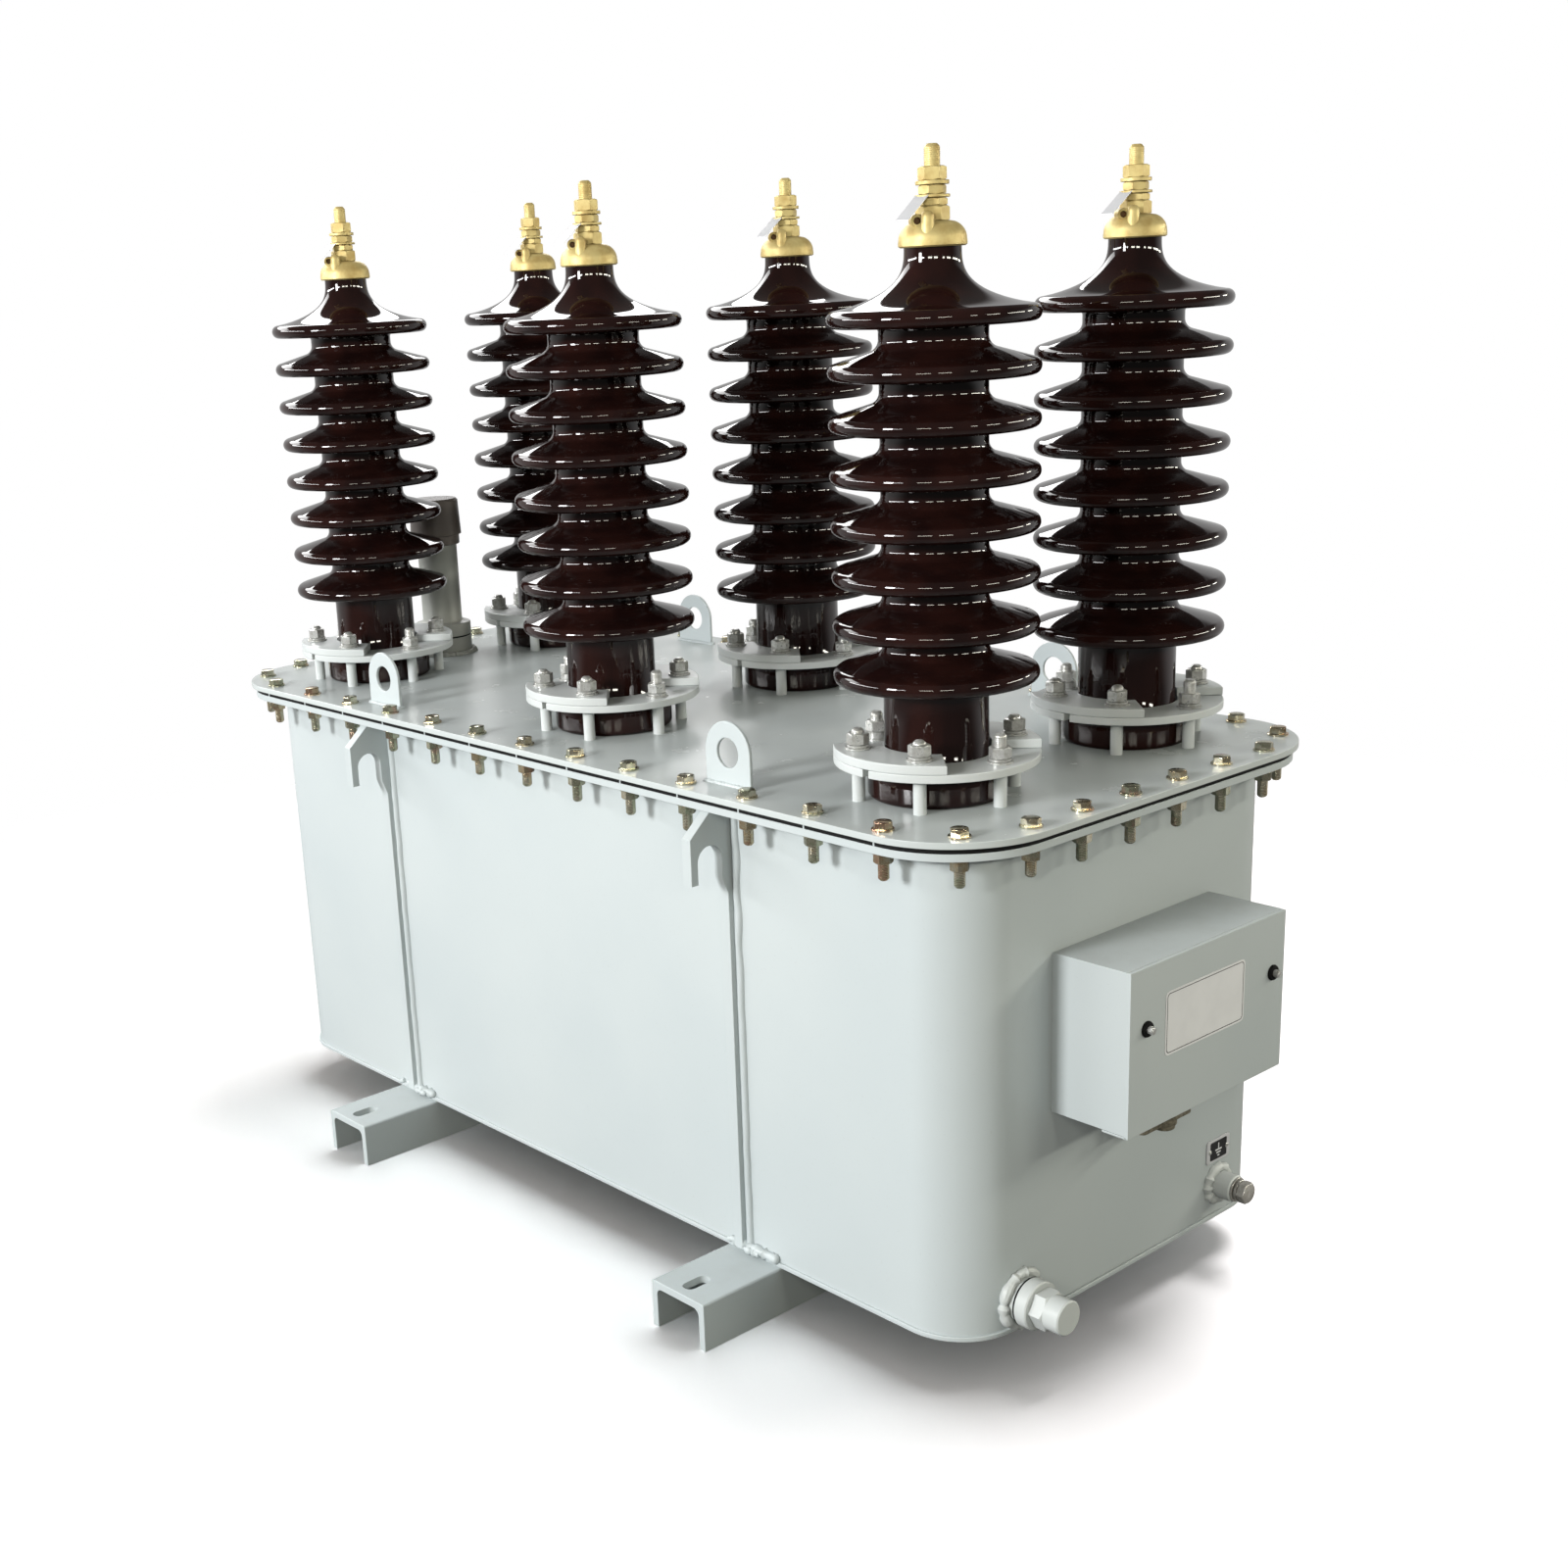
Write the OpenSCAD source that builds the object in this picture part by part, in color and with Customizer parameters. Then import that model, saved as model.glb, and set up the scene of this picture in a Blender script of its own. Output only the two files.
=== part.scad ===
// Outdoor metering unit: an oil-filled, three-phase combined metering
// transformer for a 35 kV line. A welded tank stands on two channel rails.
// Its bolted lid carries six porcelain bushings in two rows of three.
// Units are millimetres. The origin is the middle of the tank at ground level,
// X runs along the tank towards the terminal box, and Z points up.

/* [Rails] */
// Width of each channel rail under the tank
rail_w = 91; // [60:1:120]
// Height of each rail, from the ground to its web's top
rail_h = 60; // [40:1:100]
// Wall thickness of the rails
rail_wall = 9.5; // [5:0.5:12]
// Outer radius between a rail's web and its legs
rail_r = 3; // [2:0.5:12]
// Inner radius between a rail's web and its legs
rail_fillet = 8; // [3:0.5:14]
// Distance between the two rails' centre lines
rail_pitch = 710; // [500:1:900]
// How far each rail reaches beyond the tank's long walls
rail_reach = 125; // [90:1:180]
// Distance from a rail's end to the middle of its slot
slot_from_end = 31; // [20:1:40]
// Width of the slots for the holding-down bolts
slot_w = 18; // [10:0.5:22]
// Length of the slots, end to end
slot_l = 38; // [24:1:46]

/* [Tank] */
// Length of the tank's body
tank_l = 1364; // [1250:1:1500]
// Width of the tank's body
tank_w = 560; // [500:1:640]
// Height of the tank's body, from the rails to the gasket
tank_h = 565; // [500:1:700]
// Radius of the tank's upright corners
tank_r = 75; // [40:1:100]
// Thickness of the floor plate's edge that shows below the walls
floor_t = 6; // [4:0.5:12]
// How far the floor plate stands out from the walls
floor_lip = 3; // [1:0.5:6]

/* [Lid] */
// Thickness of the flange welded round the tank's mouth
flange_t = 10; // [6:0.5:16]
// Thickness of the gasket under the lid
gasket_t = 3; // [2:0.5:6]
// Thickness of the lid plate
lid_t = 9; // [6:0.5:16]
// Distance from the tank's end walls to the bolt line
bolt_out_end = 23; // [20:0.5:40]
// Distance from the tank's long walls to the bolt line
bolt_out_side = 28.5; // [20:0.5:40]
// Distance from the bolt line to the lid's edge
lid_margin = 21; // [16:0.5:30]
// Distance from the bolt line to the flange's edge
flange_margin = 15; // [14:0.5:24]
// How far the gasket's edge stays inside the flange's edge
gasket_inset = 1.5; // [0.5:0.5:4]

/* [Bushings] */
// Distance between neighbouring bushings along the lid
phase_pitch = 545; // [480:1:580]
// Distance between the two rows of bushings
row_pitch = 330; // [250:1:360]
// Radius of the sheds
shed_r = 108; // [90:0.5:115]
// Number of sheds on each bushing
shed_n = 8; // [4:1:9]
// Distance between neighbouring sheds
shed_pitch = 51.8; // [46:0.1:60]
// Thickness of a shed's rounded rim
shed_rim = 17.4; // [10:0.2:20]
// Fall of a shed's upper side, in degrees
shed_fall = 16.5; // [10:0.5:20]
// Radius of the hollow where a shed meets the neck
shed_hollow = 11.8; // [6:0.2:14]
// Radius of the porcelain between the sheds
neck_r = 55.5; // [48:0.5:60]
// Height of the lowest shed's rim above the lid
first_shed = 132; // [110:0.5:160]
// Radius of the porcelain's foot on the lid
foot_r = 74; // [66:0.5:78]
// Radius of the porcelain's top end
top_r = 28.7; // [22:0.1:32]
// Height of the porcelain's top end above the uppermost rim
top_h = 66; // [50:0.5:90]

/* [Bushing clamps] */
// Height of the clamp ring's underside above the lid, where the foot ends
clamp_z = 38; // [25:0.5:50]
// Outer radius of the clamp ring
clamp_r = 110; // [105:0.5:120]
// Gap between the clamp ring and the porcelain's neck
clamp_gap = 3; // [2:0.5:5]
// Thickness of the clamp ring
clamp_t = 9; // [6:0.5:12]
// Width of the gap between the ring's two halves
split_w = 8; // [4:0.5:14]
// Thickness of the plates that bridge the ring's halves
bridge_t = 10; // [6:0.5:14]
// Angle that each bridging plate covers
bridge_angle = 94; // [80:1:110]
// Radius of the circle that the clamp's studs stand on
stud_circle_r = 87; // [84:0.5:92]
// Number of studs round each bushing
stud_n = 6; // [4:1:8]
// Diameter of the studs
stud_d = 14; // [10:0.5:16]

/* [Terminals] */
// Radius of the brass cap's base
cap_r = 34.3; // [32.5:0.1:40]
// Height of the brass cap's straight edge
cap_edge = 7; // [3:0.5:12]
// Height of the cap from its base to the hexagon's foot
cap_h = 25; // [18:0.5:36]
// Size of the cap's hexagon across its corners
cap_hex = 33; // [28:0.5:40]
// Height of the cap's hexagon
cap_hex_h = 13; // [8:0.5:20]
// Diameter of the terminal stud
terminal_d = 16; // [12:0.5:20]
// Length of the terminal stud above the hexagon
terminal_l = 59; // [40:0.5:80]
// Chamfer on the terminal stud's tip
terminal_tip = 2; // [1:0.5:3]

/* [Lifting] */
// Distance between the lifting lugs along the lid
lug_pitch = 692; // [400:1:800]
// Distance from the lid's long edge to the middle of a lug
lug_inset = 45.5; // [38:0.5:70]
// Radius of a lug's rounded top
lug_r = 36; // [28:0.5:45]
// Height of a lug's hole above the lid
lug_hole_z = 37; // [30:0.5:50]
// Diameter of a lug's hole
lug_hole_d = 34; // [20:0.5:40]
// Thickness of the lugs
lug_t = 4.5; // [3:0.5:12]

/* [Side hooks] */
// Distance between the two hooks of one wall
hook_pitch = 698; // [400:1:800]
// How far the hooks' middle lies from the tank's middle, towards the plain end
hook_shift = 14; // [0:0.5:20]
// Thickness of the hook plates
hook_t = 14; // [8:0.5:18]
// How far a hook stands out from the wall
hook_reach = 63; // [55:0.5:75]
// Height of a hook from its lip to the tank's flange
hook_h = 84; // [70:0.5:110]
// Width of the lip in front of a hook's slot
hook_lip = 10.5; // [8:0.5:16]
// Width of a hook's slot
hook_slot = 36; // [24:0.5:40]
// Height of the slot's round top above the lip's end
hook_slot_h = 42; // [30:0.5:52]
// Length of the cut corner above the lip, along the reach
hook_cut = 34; // [20:0.5:40]
// Height of the cut corner above the lip
hook_cut_h = 30; // [20:0.5:36]
// How far the stiffener below a hook stands out from the wall
rib_out = 9; // [5:0.5:14]
// How far the hook's inner leg reaches below the lip's end
hook_leg = 20; // [10:0.5:40]

/* [Terminal box] */
// Width of the terminal box across the end wall
box_w = 280; // [200:1:360]
// Height of the terminal box
box_h = 182; // [140:1:240]
// Depth of the box from the wall to the face of its cover
box_d = 100; // [70:1:140]
// Height of the box's underside above the ground
box_z = 299; // [250:1:330]
// Thickness of the cover
cover_t = 5; // [2:0.5:10]
// Depth of the lip that folds back under the box
cover_lip = 33; // [15:1:60]
// Thickness of that lip
cover_lip_t = 3; // [1.5:0.5:5]
// Clearance between the gland's neck and the cover's lip
gland_gap = 1; // [0.5:0.5:4]
// Outer diameter of the gland's neck under the box
gland_d = 40; // [38:1:46]
// Length of the gland's neck
gland_l = 34.5; // [15:0.5:60]
// Length of the gland's clamping flange across both ears
gland_flange_w = 92; // [80:1:110]
// Thickness of the gland's clamping flange
gland_flange_t = 10; // [6:0.5:18]
// Width of the flange's ears
gland_ear_w = 13; // [10:0.5:18]
// Diameter of the flange's round middle
gland_hub_d = 29; // [26:0.5:38]
// Diameter of the gland's nose
gland_nose_d = 25; // [23:0.5:26]
// Length of the gland's nose
gland_nose_l = 5.5; // [3:0.5:20]
// Diameter of the cable passage through the gland
gland_bore_d = 18; // [12:0.5:20]

/* [Drain] */
// Distance from the front long wall to the drain's middle
drain_inset = 90; // [85:1:130]
// Height of the drain above the tank's underside
drain_z = 35; // [30:0.5:60]
// Diameter of the welded drain boss
drain_boss_d = 52; // [40:1:56]
// Length of the welded drain boss
drain_boss_l = 13; // [8:0.5:20]
// Diameter of the drain plug's collar
drain_collar_d = 56; // [44:1:60]
// Thickness of the drain plug's collar
drain_collar_t = 16; // [10:0.5:20]
// Size of the drain plug's hexagon across its corners
drain_hex = 46; // [40:0.5:50]
// Length of the drain plug's hexagon
drain_hex_l = 17; // [10:0.5:25]
// Diameter of the drain plug's round end
drain_end_d = 40; // [30:0.5:44]
// Length of the drain plug's round end
drain_end_l = 20; // [10:0.5:30]

/* [Earthing] */
// Distance from the rear long wall to the earthing boss's middle
earth_inset = 104; // [95:1:130]
// Height of the earthing boss above the tank's underside
earth_z = 44.5; // [30:0.5:60]
// Diameter of the earthing boss
earth_boss_d = 33; // [24:0.5:40]
// Length of the earthing boss
earth_boss_l = 28; // [15:0.5:40]
// Diameter of the washer under the earthing bolt's head
earth_washer_d = 30; // [28:0.5:36]
// Thickness of that washer and its spring washer together
earth_washer_t = 8; // [4:0.5:12]
// Size of the earthing bolt's head across its corners
earth_head = 27.7; // [24:0.1:34]
// Height of the earthing bolt's head
earth_head_t = 10; // [8:0.5:14]
// Width of the plate with the earthing symbol
plate_w = 46; // [30:1:52]
// Height of the plate with the earthing symbol
plate_h = 30; // [20:1:40]
// Thickness of the plate with the earthing symbol
plate_t = 1.5; // [1:0.5:3]
// Height of the plate's middle above the earthing boss
plate_up = 44; // [36:1:60]

/* [Filler] */
// Distance of the oil filler from the tank's middle
filler_x = 615; // [606:1:625]
// Diameter of the filler's flanges
filler_flange_d = 85; // [80:1:90]
// Height of the filler's welded neck
filler_neck_h = 26; // [15:0.5:40]
// Thickness of the filler's gasket
filler_gasket_t = 2; // [1:0.5:4]
// Thickness of the filler's upper flange
filler_flange_t = 19; // [10:0.5:25]
// Diameter of the filler's tube
filler_tube_d = 60; // [45:0.5:66]
// Length of the filler's tube above its flange
filler_tube_l = 120; // [60:1:180]
// Diameter of the collar under the filler's cap
filler_collar_d = 70; // [68:0.5:74]
// Height of that collar
filler_collar_h = 15; // [8:0.5:25]
// Diameter of the filler's cap at its foot
filler_cap_d = 77; // [75:0.5:84]
// Height of the filler's cap
filler_cap_h = 54; // [30:0.5:80]

/* [Hidden] */
$fn = 96;

tank_top = rail_h + tank_h;
lid_top = tank_top + gasket_t + lid_t;
bolt_corner_r = tank_r + (bolt_out_end + bolt_out_side) / 2;
rail_l = tank_w + 2 * rail_reach;
end_wall = tank_l / 2;
side_wall = tank_w / 2;
drain_y = side_wall - drain_inset;
earth_y = side_wall - earth_inset;
lug_y = side_wall + bolt_out_side + lid_margin - lug_inset;
arc_steps = 6;

paint_side = "#d2dadb";
paint_end = "#8b8e84";
paint_lid = "#aab4b2";
zinc = "#c9cdca";
glaze = "#2a1714";
brass_colour = "#e0c987";
dark_steel = "#5c5852";

// Points of an arc round (cx, cy), from angle a0 to angle a1.
function arc(cx, cy, r, a0, a1, steps = arc_steps) =
    [for (i = [0:steps]) let (a = a0 + (a1 - a0) * i / steps)
        [cx + r * cos(a), cy + r * sin(a)]];

// Places at the corners and the middle of the bushing rows.
function column_x(side) = side * phase_pitch;
function row_y(row) = row * row_pitch / 2;

// A flat plate with four round corners, centred on the origin.
module rounded_plate(l, w, r, t) {
    linear_extrude(t)
        union() {
            square([l - 2 * r, w], center = true);
            square([l, w - 2 * r], center = true);
            for (x = [-1, 1], y = [-1, 1])
                translate([x * (l / 2 - r), y * (w / 2 - r)])
                    circle(r);
        }
}

// A plate whose edge follows the lid's bolt line at a given distance.
module bolt_line_plate(margin, t) {
    rounded_plate(tank_l + 2 * (bolt_out_end + margin),
                  tank_w + 2 * (bolt_out_side + margin),
                  bolt_corner_r + margin, t);
}

module tank_walls() {
    translate([0, 0, rail_h])
        rounded_plate(tank_l, tank_w, tank_r, tank_h);
}

module tank_body() {
    color(paint_side)
        union() {
            tank_walls();
            translate([0, 0, rail_h])
                rounded_plate(tank_l + 2 * floor_lip, tank_w + 2 * floor_lip,
                              tank_r + floor_lip, floor_t);
        }
}

module tank_flange() {
    color(paint_side)
        difference() {
            translate([0, 0, tank_top - flange_t])
                bolt_line_plate(flange_margin, flange_t);
            tank_walls();
        }
}

module lid_gasket() {
    color("#1c1d1c")
        translate([0, 0, tank_top])
            bolt_line_plate(flange_margin - gasket_inset, gasket_t);
}

module lid_plate() {
    color(paint_lid)
        translate([0, 0, tank_top + gasket_t])
            bolt_line_plate(lid_margin, lid_t);
}

// A rectangle that stands on the ground line, with its two top corners rounded.
module round_topped(width, height, radius) {
    translate([-width / 2, 0])
        square([width, height - radius]);
    translate([radius - width / 2, 0])
        square([width - 2 * radius, height]);
    for (s = [-1, 1])
        translate([s * (width / 2 - radius), height - radius])
            circle(radius);
}

// A channel that opens downwards, with one slot near each end of its web.
module rail(x) {
    inner_w = rail_w - 2 * rail_wall;
    inner_h = rail_h - rail_wall;
    slot_run = slot_l - slot_w;
    color(paint_side)
        translate([x, 0, 0])
            difference() {
                rotate([90, 0, 0])
                    linear_extrude(rail_l, center = true)
                        round_topped(rail_w, rail_h, rail_r);
                translate([0, 0, -1])
                    rotate([90, 0, 0])
                        linear_extrude(rail_l + 2, center = true)
                            round_topped(inner_w, inner_h + 1, rail_fillet);
                for (s = [-1, 1])
                    translate([0, s * (rail_l / 2 - slot_from_end), inner_h - 1]) {
                        translate([-slot_w / 2, -slot_run / 2, 0])
                            cube([slot_w, slot_run, rail_wall + 2]);
                        for (e = [-1, 1])
                            translate([0, e * slot_run / 2, 0])
                                cylinder(d = slot_w, h = rail_wall + 2);
                    }
            }
}

module rail_left() { rail(-rail_pitch / 2); }
module rail_right() { rail(rail_pitch / 2); }

// A hook plate under the flange with the long stiffener below it. Its outline
// is drawn outwards from the wall and upwards from the rails.
module hook(x, side) {
    top = tank_h - flange_t;
    lip_z = top - hook_h;
    slot_in = hook_reach - hook_lip - hook_slot;
    slot_z = lip_z + hook_slot_h - hook_slot / 2;
    leg_z = lip_z - hook_leg;
    outline = concat(
        [[0, floor_t], [rib_out, floor_t], [rib_out, leg_z], [slot_in, lip_z]],
        arc(slot_in + hook_slot / 2, slot_z, hook_slot / 2, 180, 0, 12),
        [[hook_reach - hook_lip, lip_z], [hook_reach, lip_z],
         [hook_reach, top - hook_cut_h], [hook_reach - hook_cut, top], [0, top]]);
    color(paint_side)
        translate([x - hook_shift, side * side_wall, rail_h])
            rotate([0, 0, side < 0 ? 180 : 0])
                rotate([90, 0, 90])
                    linear_extrude(hook_t, center = true)
                        polygon(outline);
}

module hook_front_left() { hook(-hook_pitch / 2, -1); }
module hook_front_right() { hook(hook_pitch / 2, -1); }
module hook_rear_left() { hook(-hook_pitch / 2, 1); }
module hook_rear_right() { hook(hook_pitch / 2, 1); }

// An upright plate on the lid with a round top and a hole for a shackle.
module lug(column, row) {
    color(paint_side)
        translate([column * lug_pitch / 2, row * lug_y, lid_top])
            rotate([90, 0, 0])
                difference() {
                    linear_extrude(lug_t, center = true)
                        union() {
                            translate([-lug_r, 0])
                                square([2 * lug_r, lug_hole_z]);
                            translate([0, lug_hole_z])
                                circle(lug_r);
                        }
                    translate([0, lug_hole_z, 0])
                        cylinder(d = lug_hole_d, h = lug_t + 2, center = true);
                }
}

module lug_front_left() { lug(-1, -1); }
module lug_front_right() { lug(1, -1); }
module lug_rear_left() { lug(-1, 1); }
module lug_rear_right() { lug(1, 1); }

// Under a shed and round its rim, up to the angle last.
function shed_rim_points(z, last) =
    let (rim = shed_rim / 2)
    concat([[neck_r, z - rim + 1]], arc(shed_r - rim, z, rim, -90, last));

// Outline of one shed: the rim, a straight fall, and a hollow into the neck.
function shed_points(z) =
    let (rim = shed_rim / 2,
         hollow_x = neck_r + shed_hollow,
         fall_x = shed_r - rim + rim * sin(shed_fall),
         fall_z = z + rim * cos(shed_fall),
         hollow_z = fall_z + (fall_x - hollow_x) * tan(shed_fall)
                    + shed_hollow / cos(shed_fall))
    concat(shed_rim_points(z, 90 - shed_fall),
           arc(hollow_x, hollow_z, shed_hollow, 270 - shed_fall, 180));

// Outline of the uppermost shed, which runs up hollow to the top end.
function top_shed_points(z) =
    let (rim = shed_rim / 2, run = shed_r - rim - top_r, rise = top_h - rim)
    concat(shed_rim_points(z, 90),
        [for (i = [1:2 * arc_steps]) let (t = i / arc_steps / 2)
            [top_r + run * pow(1 - t, 2.9), z + rim + rise * pow(t, 1.16)]]);

// A porcelain bushing with a wide foot, evenly spaced sheds and a slim top.
module bushing(column, row) {
    top_rim = first_shed + (shed_n - 1) * shed_pitch;
    foot_round = 6;
    outline = concat(
        [[0, 0]],
        arc(foot_r - foot_round, foot_round, foot_round, -90, 0),
        [[foot_r, clamp_z], [neck_r, clamp_z]],
        [for (i = [0:shed_n - 2])
            each shed_points(first_shed + i * shed_pitch)],
        top_shed_points(top_rim),
        [[0, top_rim + top_h]]);
    color(glaze)
        translate([column_x(column), row_y(row), lid_top])
            rotate_extrude()
                polygon(outline);
}

module bushing_front_left() { bushing(-1, -1); }
module bushing_front_middle() { bushing(0, -1); }
module bushing_front_right() { bushing(1, -1); }
module bushing_rear_left() { bushing(-1, 1); }
module bushing_rear_middle() { bushing(0, 1); }
module bushing_rear_right() { bushing(1, 1); }

// The two half rings that press a bushing's foot on the lid.
module clamp(column, row) {
    color(zinc)
        translate([column_x(column), row_y(row), lid_top + clamp_z])
            difference() {
                cylinder(r = clamp_r, h = clamp_t);
                translate([0, 0, -1])
                    cylinder(r = neck_r + clamp_gap, h = clamp_t + 2);
                translate([-split_w / 2, -clamp_r - 1, -1])
                    cube([split_w, 2 * clamp_r + 2, clamp_t + 2]);
            }
}

module clamp_front_left() { clamp(-1, -1); }
module clamp_front_middle() { clamp(0, -1); }
module clamp_front_right() { clamp(1, -1); }
module clamp_rear_left() { clamp(-1, 1); }
module clamp_rear_middle() { clamp(0, 1); }
module clamp_rear_right() { clamp(1, 1); }

// Curved plates that bridge the gaps between the half rings.
module clamp_bridges() {
    color(zinc)
        for (column = [-1:1], row = [-1, 1], side = [-1, 1])
            translate([column_x(column), row_y(row), lid_top + clamp_z + clamp_t])
                rotate([0, 0, side * 90 - bridge_angle / 2])
                    rotate_extrude(angle = bridge_angle)
                        translate([neck_r + clamp_gap, 0])
                            square([clamp_r - neck_r - clamp_gap, bridge_t]);
}

// The studs that stand on the lid under the clamp rings.
module clamp_studs() {
    color(zinc)
        for (column = [-1:1], row = [-1, 1], i = [0:stud_n - 1])
            translate([column_x(column), row_y(row), lid_top])
                rotate([0, 0, i * 360 / stud_n])
                    translate([stud_circle_r, 0, 0])
                        cylinder(d = stud_d, h = clamp_z);
}

// A brass cap with a hexagon and the threaded terminal stud.
module terminal(column, row) {
    base_z = lid_top + first_shed + (shed_n - 1) * shed_pitch + top_h;
    neck = cap_hex * 0.46;
    dome = [for (i = [0:arc_steps]) let (t = i / arc_steps)
        [cap_r - (cap_r - neck) * (1 - sqrt(1 - t * t)),
         cap_edge + (cap_h - cap_edge) * t]];
    color(brass_colour)
        translate([column_x(column), row_y(row), base_z]) {
            rotate_extrude()
                polygon(concat([[0, 0], [cap_r, 0]], dome, [[0, cap_h]]));
            translate([0, 0, cap_h])
                cylinder(d = cap_hex, h = cap_hex_h, $fn = 6);
            translate([0, 0, cap_h])
                cylinder(d = terminal_d, h = cap_hex_h + terminal_l - terminal_tip);
            translate([0, 0, cap_h + cap_hex_h + terminal_l - terminal_tip])
                cylinder(d1 = terminal_d, d2 = terminal_d - 2 * terminal_tip,
                         h = terminal_tip);
        }
}

module terminal_front_left() { terminal(-1, -1); }
module terminal_front_middle() { terminal(0, -1); }
module terminal_front_right() { terminal(1, -1); }
module terminal_rear_left() { terminal(-1, 1); }
module terminal_rear_middle() { terminal(0, 1); }
module terminal_rear_right() { terminal(1, 1); }

module terminal_box() {
    color(paint_side)
        translate([end_wall, -box_w / 2, box_z])
            cube([box_d - cover_t, box_w, box_h]);
}

// The cover closes the front and folds back under the box's edge.
module box_cover() {
    color(paint_end)
        translate([end_wall + box_d, -box_w / 2, box_z]) {
            translate([-cover_t, 0, -cover_lip_t])
                cube([cover_t, box_w, box_h + cover_lip_t]);
            translate([-cover_lip, 0, -cover_lip_t])
                cube([cover_lip, box_w, cover_lip_t]);
        }
}

// The gland's flange: a round middle between two narrow ears.
module gland_flange() {
    ear_y = (gland_flange_w - gland_ear_w) / 2;
    cylinder(d = gland_hub_d, h = gland_flange_t);
    translate([-gland_ear_w / 2, -ear_y, 0])
        cube([gland_ear_w, 2 * ear_y, gland_flange_t]);
    for (side = [-1, 1])
        translate([0, side * ear_y, 0])
            cylinder(d = gland_ear_w, h = gland_flange_t);
}

// The gland hangs under the box, with a passage for the cable.
module cable_gland() {
    gland_x = end_wall + box_d - cover_lip - gland_gap - gland_d / 2;
    gland_h = gland_nose_l + gland_flange_t + gland_l;
    color(dark_steel)
        translate([gland_x, 0, box_z - gland_h])
            difference() {
                union() {
                    cylinder(d = gland_nose_d, h = gland_nose_l);
                    translate([0, 0, gland_nose_l])
                        gland_flange();
                    translate([0, 0, gland_nose_l + gland_flange_t])
                        cylinder(d = gland_d, h = gland_l);
                }
                translate([0, 0, -1])
                    cylinder(d = gland_bore_d, h = gland_h + 2);
            }
}

// Places a fitting on the end wall, with its axis pointing away from it.
module on_end_wall(y, z) {
    translate([end_wall, y, rail_h + z])
        rotate([0, 90, 0])
            children();
}

module drain_boss() {
    color(paint_end)
        difference() {
            on_end_wall(-drain_y, drain_z)
                translate([0, 0, -drain_boss_l])
                    cylinder(d = drain_boss_d, h = 2 * drain_boss_l);
            tank_body();
        }
}

module drain_plug() {
    color(paint_end)
        on_end_wall(-drain_y, drain_z)
            translate([0, 0, drain_boss_l]) {
                cylinder(d = drain_collar_d, h = drain_collar_t);
                translate([0, 0, drain_collar_t])
                    cylinder(d = drain_hex, h = drain_hex_l, $fn = 6);
                translate([0, 0, drain_collar_t + drain_hex_l])
                    cylinder(d = drain_end_d, h = drain_end_l);
            }
}

module earth_boss() {
    color(paint_end)
        on_end_wall(earth_y, earth_z)
            cylinder(d = earth_boss_d, h = earth_boss_l);
}

module earth_bolt() {
    color(dark_steel)
        on_end_wall(earth_y, earth_z)
            translate([0, 0, earth_boss_l]) {
                cylinder(d = earth_washer_d, h = earth_washer_t);
                translate([0, 0, earth_washer_t])
                    cylinder(d = earth_head, h = earth_head_t, $fn = 6);
            }
}

module earth_plate() {
    color("#2b2b2b")
        translate([end_wall, earth_y - plate_w / 2,
                   rail_h + earth_z + plate_up - plate_h / 2])
            cube([plate_t, plate_w, plate_h]);
}

module filler_neck() {
    color(paint_lid)
        translate([-filler_x, 0, lid_top])
            union() {
                cylinder(d = filler_flange_d, h = filler_neck_h);
                cylinder(d = filler_flange_d - 2 * gasket_inset,
                         h = filler_neck_h + filler_gasket_t);
            }
}

module filler_tube() {
    color(paint_lid)
        translate([-filler_x, 0, lid_top + filler_neck_h + filler_gasket_t])
            union() {
                cylinder(d = filler_flange_d, h = filler_flange_t);
                cylinder(d = filler_tube_d, h = filler_flange_t + filler_tube_l);
            }
}

module filler_cap() {
    cap_z = lid_top + filler_neck_h + filler_gasket_t + filler_flange_t
        + filler_tube_l;
    color(paint_lid)
        translate([-filler_x, 0, cap_z])
            union() {
                cylinder(d = filler_collar_d, h = filler_collar_h);
                translate([0, 0, filler_collar_h])
                    cylinder(d1 = filler_cap_d, d2 = filler_cap_d - 5,
                             h = filler_cap_h);
            }
}

tank_body();
tank_flange();
lid_gasket();
lid_plate();
rail_left();
rail_right();
hook_front_left();
hook_front_right();
hook_rear_left();
hook_rear_right();
lug_front_left();
lug_front_right();
lug_rear_left();
lug_rear_right();
bushing_front_left();
bushing_front_middle();
bushing_front_right();
bushing_rear_left();
bushing_rear_middle();
bushing_rear_right();
clamp_front_left();
clamp_front_middle();
clamp_front_right();
clamp_rear_left();
clamp_rear_middle();
clamp_rear_right();
clamp_bridges();
clamp_studs();
terminal_front_left();
terminal_front_middle();
terminal_front_right();
terminal_rear_left();
terminal_rear_middle();
terminal_rear_right();
terminal_box();
box_cover();
cable_gland();
drain_boss();
drain_plug();
earth_boss();
earth_bolt();
earth_plate();
filler_neck();
filler_tube();
filler_cap();
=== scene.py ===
import math
import random
import bpy
import bmesh
from mathutils import Matrix, Vector, noise
from mathutils.geometry import tessellate_polygon


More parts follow.
